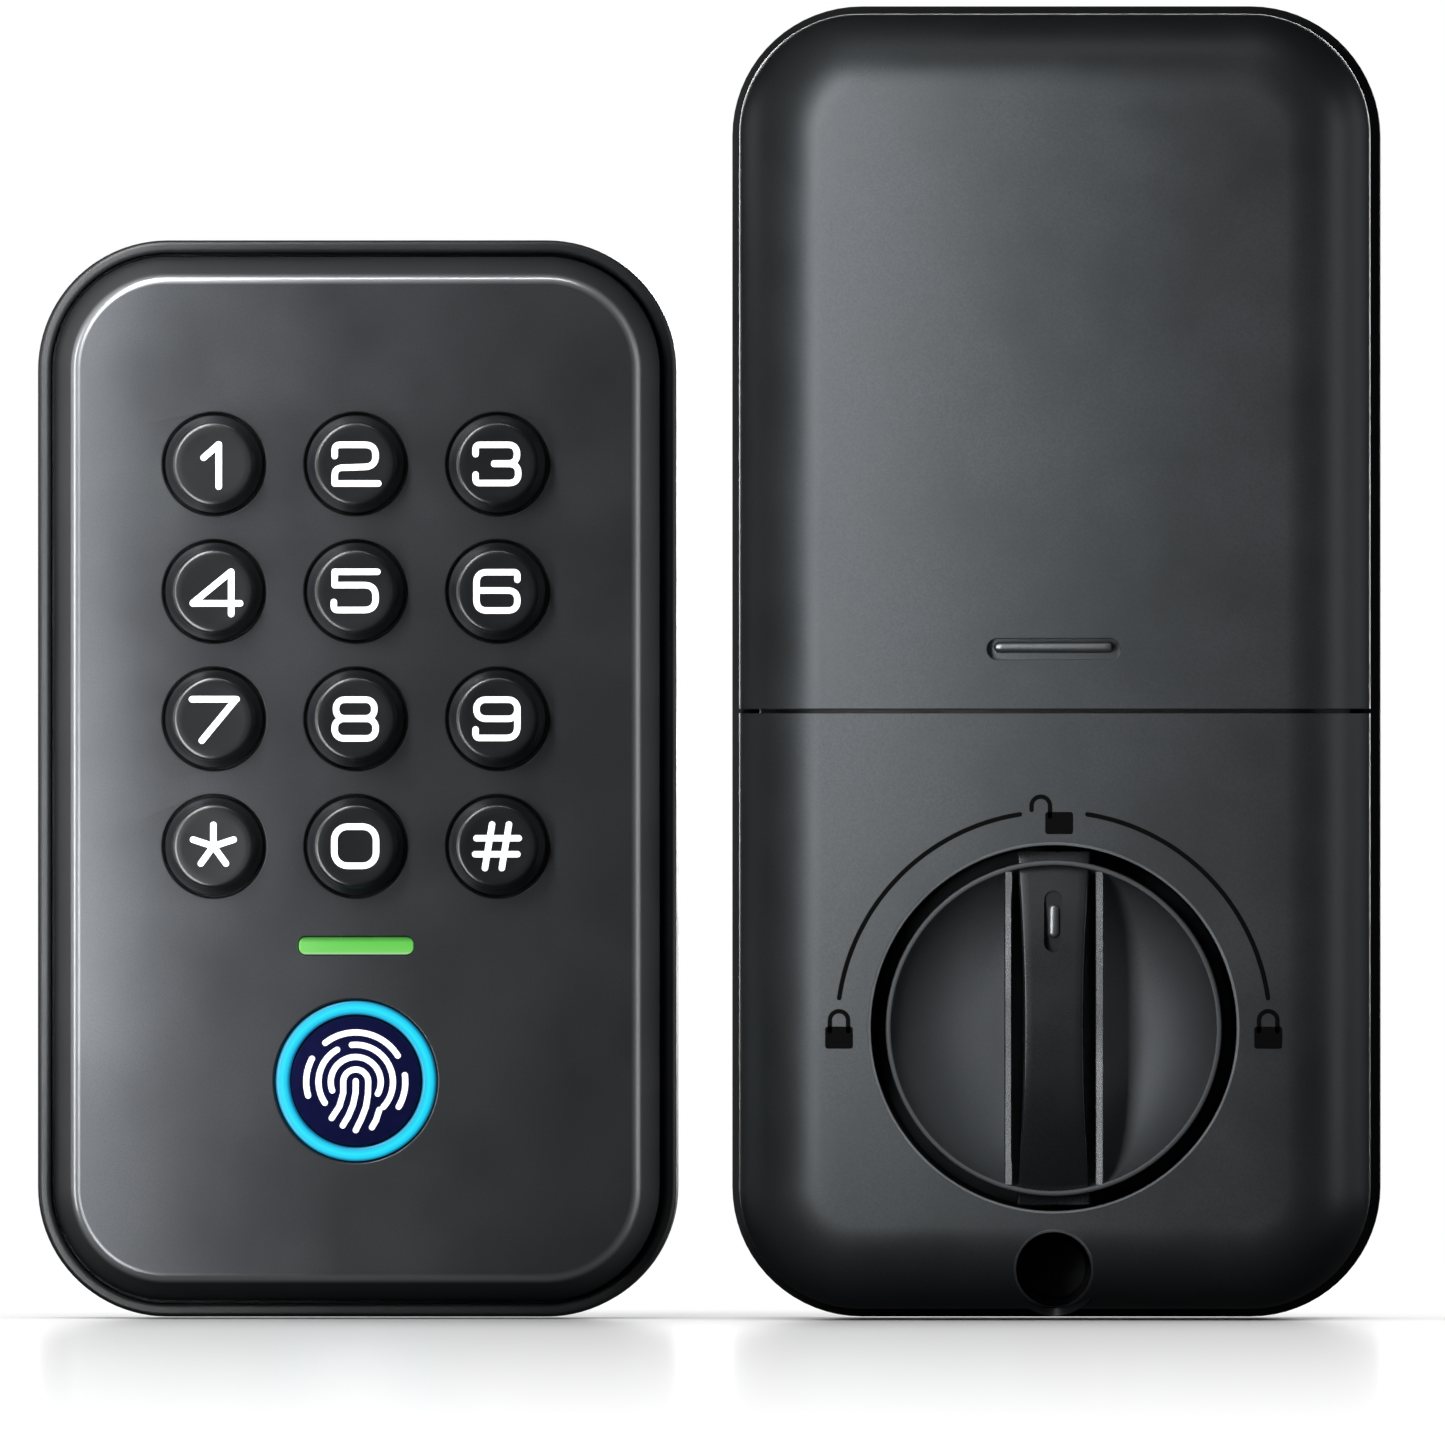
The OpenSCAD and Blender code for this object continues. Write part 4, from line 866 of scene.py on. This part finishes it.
grip_up = parting + 6.7
slot_w, slot_h = 14.3, 2.25
upper = new_piece("sliding_battery_cover", [pillow_shell(12.3)],
                  "battery_cover", shell)
slot_ring = bar_ring(0, grip_up, slot_w, slot_h, slot_h / 2 - 0.01, 10)
cut(upper, [block(in_x, (-60, 60), (-60, parting_high), (0, 60)),
            prism(in_x, slot_ring, flat_d - 4, flat_d + 4)])
soften(upper, 0.22)
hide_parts("battery_cover")

# %% [markdown]
# Behind each opening in the covers is more plastic: a round well with a floor for the thumbturn,
# a narrow well for the screw, whose mouth follows the curve of the front, and the floor and rib
# of the little slot that a fingernail slides the battery cover by.

# %% Wells and the cover's grip
well_floor, screw_floor = 17.9, 14.0
new_piece("thumbturn_well", [revolved(in_x, bore_up, *np.array([
    [well_r + 1.2, flat_d - 1.6], [well_r + 1.2, well_floor], [6.05, well_floor], [6.05, well_floor + 2],
    [well_r - 1.0, well_floor + 2], [well_r - 0.3, well_floor + 2.3], [well_r, well_floor + 3.0],
    [well_r, flat_d - 1.6]]).T, 160)], "indoor_unit", shell, 30)

# Thin rings round the mouths of the thumbturn well and the screw well, in the light paint: painted
# highlight lines on those edges.
new_piece("well_lip", [revolved(
    in_x, bore_up,
    [well_r - 0.02, well_r - 0.02, well_r + 0.05, well_r + 0.26, well_r + 0.3, well_r + 0.3],
    [flat_d - 1.0, flat_d - 0.16, flat_d + 0.01, flat_d + 0.03, flat_d, flat_d - 1.0], 160)],
    "indoor_unit", light_paint_highlight, 40)
turn = np.linspace(0, 2 * np.pi, 64, endpoint=False)
rise = []
for r, down in ((4.02, 0.9), (4.02, 0.1), (4.08, -0.01), (4.28, -0.03), (4.36, 0.05), (4.36, 0.9)):
    z = screw_up + r * np.sin(turn)
    rise.append(place(in_x, r * np.cos(turn), z, pillow_out(z) - down))
new_piece("screw_well_lip", [(np.stack(rise), grid_faces(6, 64, True, True).tolist())],
          "indoor_unit", light_paint_highlight, 40)
mouth = []
for r, top in ((screw_r + 1.0, True), (screw_r + 1.0, False), (screw_r, False), (screw_r, True)):
    z = screw_up + r * np.sin(turn)
    edge = pillow_out(screw_up + screw_r * np.sin(turn)) - 0.8
    mouth.append(place(in_x, r * np.cos(turn), z, edge if top else screw_floor))
new_piece("screw_well", [
    (np.stack(mouth), grid_faces(4, 64, True, True).tolist()),
    revolved(in_x, screw_up, [1.3, screw_r + 1, screw_r + 1, 1.3], [12, 12, 13.99, 13.99], 64)],
    "indoor_unit", black_abs, 30)

# The grip rib is finished in the light paint, which paints the bright line along its crest.
rib_turn = arc(0, 180, 15)
rib_w = slot_w - 1.3
along = np.linspace(-1, 1, 41)[:, None]
into_end = (np.abs(along) * rib_w / 2 - rib_w / 2 + 0.6).clip(0)
half_h = 0.6 * np.sqrt(np.clip(1 - into_end**2 / 0.36, 0.02, 1))
across = along * rib_w / 2 + 0 * rib_turn
up = grip_up + 0.2 + half_h * np.cos(rib_turn)
out = flat_d - 0.65 + 0.75 * np.sin(rib_turn) * half_h / 0.6
crown = place(in_x, across, up, out)
under = place(in_x, across, up, 0 * out + flat_d - 3.0)[:, ::-1]
loop = np.concatenate([crown, under], 1)
plug_ring = bar_ring(0, grip_up, slot_w + 2.4, slot_h + 2.4, 2.3, 10)
cover_rib = new_piece(
    "cover_grip_rib", [closed_rings(loop), prism(in_x, plug_ring, flat_d - 3.2, flat_d - 2.05)],
    "battery_cover", light_paint_highlight, 40)
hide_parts("cover_grip")

# %% [markdown]
# ## The thumbturn
# It is a round cup with a bar across it. Two half-moon bowls let finger and thumb reach the bar.
# The cup is one lathe shape: hub, back, outer wall, a narrow rim, and a quarter-round bowl to a
# flat floor. Two thin chords rise from the bowls beside the bar and catch the light.

# %% Thumbturn cup and chords
knob_r = 18.1
knob_back = 20.3
knob_floor = flat_d - 7.7
bowl = arc(0, 90, 12)
bowl_r = np.concatenate([[knob_r - 0.5], knob_r - 0.5 - (knob_r - 0.5 - 8.1) * (1 - np.cos(bowl))[1:]])
bowl_d = np.concatenate([[flat_d], flat_d - (flat_d - knob_floor) * np.sin(bowl)[1:]])
cup = np.concatenate([
    [[0.0, well_floor + 7.5], [5.0, well_floor + 7.5], [5.0, well_floor + 0.02], [6.0, well_floor + 0.02],
     [6.0, knob_back], [knob_r - 0.3, knob_back], [knob_r, knob_back + 0.3], [knob_r, flat_d - 0.2],
     [knob_r - 0.08, flat_d - 0.05], [knob_r - 0.2, flat_d]],
    [[knob_r - 0.42, flat_d]], np.stack([bowl_r - 0.03, bowl_d - 0.06], -1), [[0.0, knob_floor - 0.06]]])
knob = new_piece("thumbturn_cup", [disc(in_x, bore_up, cup[:, 0], cup[:, 1], 160)],
                 "thumbturn", knob_zinc, 30)
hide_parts("thumbturn_knob")

edge_in, edge_out = 4.5, 5.3
reach = math.sqrt((knob_r - 0.45) ** 2 - edge_out**2)
u = np.linspace(-reach, reach, 61)[:, None]
profile = np.array([
    [edge_in, knob_floor - 0.8], [edge_out, knob_floor - 0.8], [edge_out, flat_d - 0.16],
    [edge_out - 0.12, flat_d - 0.04], [edge_in + 0.1, flat_d - 0.04], [edge_in, flat_d - 0.14]])
chords = [closed_rings(place(in_x, side * profile[None, :, 0], bore_up + u, profile[None, :, 1]))
          for side in (-1, 1)]
# The chords are finished in the light zinc, whose light colour paints the highlight lines beside the bar.
chord_piece = new_piece("thumbturn_chords", chords, "thumbturn", chord_highlight_zinc, 30)

# %% [markdown]
# The grip stands in the slot between the chords. In plan it is waisted, eight millimetres wide at
# its ends and less in the middle; along its length its crest is an arc that falls to both ends.
# Its section has steep sides and a broken edge, and near the upper end a dimple marks the pointer.

# %% Grip
grip_l, end_w, mid_w, fall, grip_top = 38.0, 8.0, 6.4, 3.4, 37.99
crest_r = (grip_l**2 / 4 + fall**2) / (2 * fall)
waist_r = (grip_l**2 / 4 + ((end_w - mid_w) / 2) ** 2) / (end_w - mid_w)
u = np.linspace(-grip_l / 2, grip_l / 2, 121)[:, None]
half = mid_w / 2 + waist_r - np.sqrt(waist_r**2 - u**2)
crest = grip_top - crest_r + np.sqrt(crest_r**2 - u**2)
edge_mm, grip_foot = 0.3, 27.4
middle = np.linspace(-1, 1, 9)[None, :]
t = arc(0, 90, 7)[None, 1:]
edge = half - edge_mm + edge_mm * np.sin(t)
across = np.concatenate([-half, -edge[:, ::-1], middle * (half - edge_mm), edge, half], 1)
drop = edge_mm * (1 - np.cos(t)) + 0 * half
top = crest - np.concatenate([drop[:, -1:], drop[:, ::-1], 0 * middle + 0 * half, drop, drop[:, -1:]], 1)
top[:, [0, -1]] = grip_foot
grip = new_piece("thumbturn_grip", [closed_rings(place(in_x, across, bore_up + u, top))],
                 "thumbturn", grip_zinc, 28)
pointer_up = bore_up + 11.5
dimple = bar_ring(0, pointer_up, 2.04, 6.64, 1.01, 12)
cut(grip, [prism(in_x, dimple, 35.7, 40)])
# A small bead in the dimple, in the light paint: a painted highlight in the middle of the dimple.
rings = [bar_ring(0, pointer_up, 1.3 - s, 3.6 - s, (1.3 - s) / 2 - 0.01, 12) for s in (0, 0.05, 0.3, 0.8)]
bead = rings_at(in_x, rings, [35.5, 35.95, 36.15, 36.25])
new_piece("pointer_bead", [closed_rings(bead)], "thumbturn", light_paint_highlight, 40)
print("thumbturn grip:", len(grip.data.vertices), "vertices")

# %% [markdown]
# Round the well the cover carries printed marks: two arcs for the turn's travel and three small
# padlocks, closed at each side and open at the top. Each padlock is a solid body and a shackle.

# %% Dial marks
dial_film = 0.035


def dial_arc(start, stop, radius=23.3):
    """One printed arc round the well, angles from the horizontal."""
    a = arc(start, stop, 60)
    return np.stack([radius * np.cos(a), bore_up + radius * np.sin(a)], -1)


def padlock(x, z, w, h, is_open=False):
    """Body as a filled bar with its key slot left plain, and a shackle of 0.5 mm line."""
    body = bar_ring(x, z - h * 0.2, w, h * 0.58, 0.3)
    a = arc(0, 180, 20)
    r = w * 0.33
    loop = np.stack([r * np.cos(a), r * np.sin(a) + 0.25], -1)
    legs = np.concatenate([[[r, -0.9]], loop, [[-r, -0.2 if is_open else -0.9]]])
    shift = np.array([x - (2 * r if is_open else 0), z + h * 0.19])
    part = prism(in_x, body, flat_d - 0.02, flat_d + dial_film)
    return [part] + printed(in_x, [legs + shift], 0.48, flat_d, dial_film)


marks = printed(in_x, [dial_arc(8, 81), dial_arc(99, 172)], 0.5, flat_d, dial_film)
for x, rise, is_open in ((-23.1, -0.2, False), (23.1, -0.2, False), (0.6, 22.9, True)):
    marks += padlock(x, bore_up + rise, 3.0, 4.1, is_open)
new_piece("dial_marks", marks, "indoor_unit", dial_ink)

# %% [markdown]
# ## Finishes for what the CAD already shapes well
# The inner parts keep their CAD meshes. Each gets the finish of its real material, so the view
# with the battery cover slid up shows cells, springs and contacts as they are.

# %% Finishes on the CAD nodes
cad_finish = {
    rubber: ["door_gasket", "cable_grommet"],
    silicone: ["key_mat"],
    circuit_board: ["keypad_circuit_board", "main_circuit_board"],
    spring_steel: ["key_switches", "battery_springs", "battery_contacts", "retaining_ring"],
    led_package: ["status_lamp"],
    inner_abs: ["sensor_bracket", "buzzer", "motor_clamp", "battery_box", "position_switches"],
    screw_steel: ["keypad_board_screws", "back_housing_screws", "plate_screws", "cover_screws",
                  "chassis_screws", "main_board_screws", "emergency_power_port"],
    brass: ["mounting_inserts", "motor_pinion"],
    connector: ["outer_cable_header", "inner_cable_header"],
    plate_steel: ["mounting_plate"],
    tray_abs: ["indoor_back_tray"],
    black_screw: ["bottom_fixing_screw"],
    cell_wrap: ["batteries"],
    chassis_zinc: ["gear_chassis"],
    motor_can: ["motor"],
    spindle_steel: ["thumbturn_spindle"],
    acetal: ["spindle_gear", "idler_gear"],
}
for material, names in cad_finish.items():
    for name in names:
        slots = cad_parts[name].data.materials
        slots.clear()
        slots.append(material)
shown = [name for name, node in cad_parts.items() if not node.hide_render]
missed = set(shown) - set(sum(cad_finish.values(), []))
print("CAD nodes shown:", len(shown), "without a finish:", sorted(missed))

# %% [markdown]
# ## Floor and light
# A wide pale floor with a soft sheen that grows towards the units and ends just behind them. Most
# lights belong to one unit or to the floor alone: strips at the upper left, close enough for
# their light to fall off across the front, thin rims at the sides and a soft one above. The
# keypad's right rim lights only its shell, and the indoor unit doesn't stand in its way.

# %% Floor
floor_mesh = bpy.data.meshes.new("floor")
floor_mesh.from_pydata([(-1, -2.4, 0), (1, -2.4, 0), (1, 0.6, 0), (-1, 0.6, 0)], [], [(0, 1, 2, 3)])
floor = linked("floor", floor_mesh)
floor_paint, tree, principled, metres = blank("white_satin_table_laminate")
principled.inputs["Base Color"].default_value = (0.9, 0.9, 0.9, 1)
principled.inputs["Roughness"].default_value = 0.6
principled.inputs["Specular IOR Level"].default_value = 0.0
sheen = add(tree, "BsdfAnisotropic", {"Color": (1, 1, 1, 1), "Roughness": 0.14})
depth = add(tree, "SeparateXYZ", {"Vector": metres}).outputs["Y"]
near = mapped(tree, depth, -1.15, -0.02, 0.04, 0.5)
behind = mapped(tree, depth, 0.0, 0.04, 0.5, 0.0)
fade = add(tree, "Math", {0: near, 1: behind}, operation="MINIMUM")
blend = add(tree, "MixShader", {0: fade.outputs[0], 1: principled.outputs[0], 2: sheen.outputs[0]})
tree.links.new(blend.outputs[0], tree.nodes["Material Output"].inputs["Surface"])
floor_mesh.materials.append(floor_paint)
floor.location.z = -0.0002
floor.visible_diffuse = False
floor.visible_glossy = False
floor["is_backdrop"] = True

# %% Lights
units = {"keypad": bpy.data.collections.new("keypad"), "indoor": bpy.data.collections.new("indoor")}
both, keypad_shell, turning, on_floor = (
    bpy.data.collections.new(n) for n in ("both", "keypad shell", "turning", "on floor"))
on_floor.objects.link(floor)
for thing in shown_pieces():
    centre = np.mean([(thing.matrix_world @ Vector(c)).x for c in thing.bound_box])
    units["keypad" if centre < 0 else "indoor"].objects.link(thing)
    both.objects.link(thing)
for group, things in ((keypad_shell, (housing, face)), (turning, (knob, chord_piece))):
    for thing in things:
        group.objects.link(thing)


def soft_box(name, middle_x, across, up, out, size, power, aim_at, receivers=None, blockers=None):
    """An area light at a place given from a unit's foot, aimed at another such place."""
    data = bpy.data.lights.new(name, "AREA")
    data.shape = "RECTANGLE"
    data.size, data.size_y = size[0] * MM, size[1] * MM
    data.energy = power
    light = linked(name, data)
    light.location = place(middle_x, across, up, out).tolist()
    to = Vector(place(middle_x, *aim_at).tolist()) - light.location
    light.rotation_euler = to.to_track_quat("-Z", "Y").to_euler()
    light.visible_camera = False
    if receivers:
        light.light_linking.receiver_collection = receivers
    if blockers:
        light.light_linking.blocker_collection = blockers
    return light


soft_box("upper strip keypad", kp_x, -50, 150, 100, (20, 110), 0.17, (-8, 60, 18), units["keypad"])
soft_box("lower strip keypad", kp_x, -48, 20, 100, (20, 90), 0.085, (-8, 50, 18), units["keypad"])
soft_box("left strip indoor", in_x, -38, 95, 125, (24, 180), 0.175, (-8, 70, 34), units["indoor"])
soft_box("left rim keypad", kp_x, -150, 70, 70, (20, 180), 0.07, (0, 60, 18), units["keypad"])
soft_box("left edge keypad", kp_x, -32, 82, 43, (8, 110), 0.016, (-32, 82, 0), units["keypad"])
soft_box("right rim keypad", kp_x, 150, 70, 40, (20, 180), 0.14, (0, 60, 18),
         keypad_shell, units["keypad"])
soft_box("right rim indoor", in_x, 130, 80, 60, (20, 160), 0.03, (0, 70, 30), units["indoor"])
soft_box("top keypad", kp_x, 0, 300, 110, (160, 20), 0.11, (0, 60, 20), units["keypad"])
soft_box("top indoor", in_x, 0, 420, 130, (160, 60), 0.06, (0, 60, 20), units["indoor"])
soft_box("thumbturn fill", in_x, 45, 0, 170, (60, 60), 0.045, (0, bore_up, 34), turning)
soft_box("fill", 0, 0, 300, 1500, (900, 500), 0.12, (0, 60, 20))
soft_box("floor light", 0, 0, 1500, 600, (2400, 3600), 64.0, (0, 0, 600), on_floor)
soft_box("card behind", 0, 0, 300, -1100, (3000, 700), 7.5, (0, 100, 0), on_floor)
soft_box("back fill", 0, 0, 180, -900, (500, 300), 7.0, (0, 60, 0), both)
soft_box("right back fill", 0, 560, 150, -200, (300, 300), 0.22, (0, 60, 0), both)
soft_box("left back fill", 0, -560, 150, -200, (300, 300), 0.22, (0, 60, 0), both)

world = bpy.data.worlds.new("white room")
bpy.context.scene.world = world
world.use_nodes = True
tree = world.node_tree
tree.nodes.clear()
room = add(tree, "Background", {"Color": (0.35, 0.36, 0.38, 1), "Strength": 0.05})
seen = add(tree, "Background", {"Color": (1, 1, 1, 1), "Strength": 1.0})
path = add(tree, "LightPath")
mix = add(tree, "MixShader", {0: path.outputs["Is Camera Ray"], 1: room.outputs[0], 2: seen.outputs[0]})
add(tree, "OutputWorld", {"Surface": mix.outputs[0]})
bpy.context.scene.view_settings.view_transform = "Standard"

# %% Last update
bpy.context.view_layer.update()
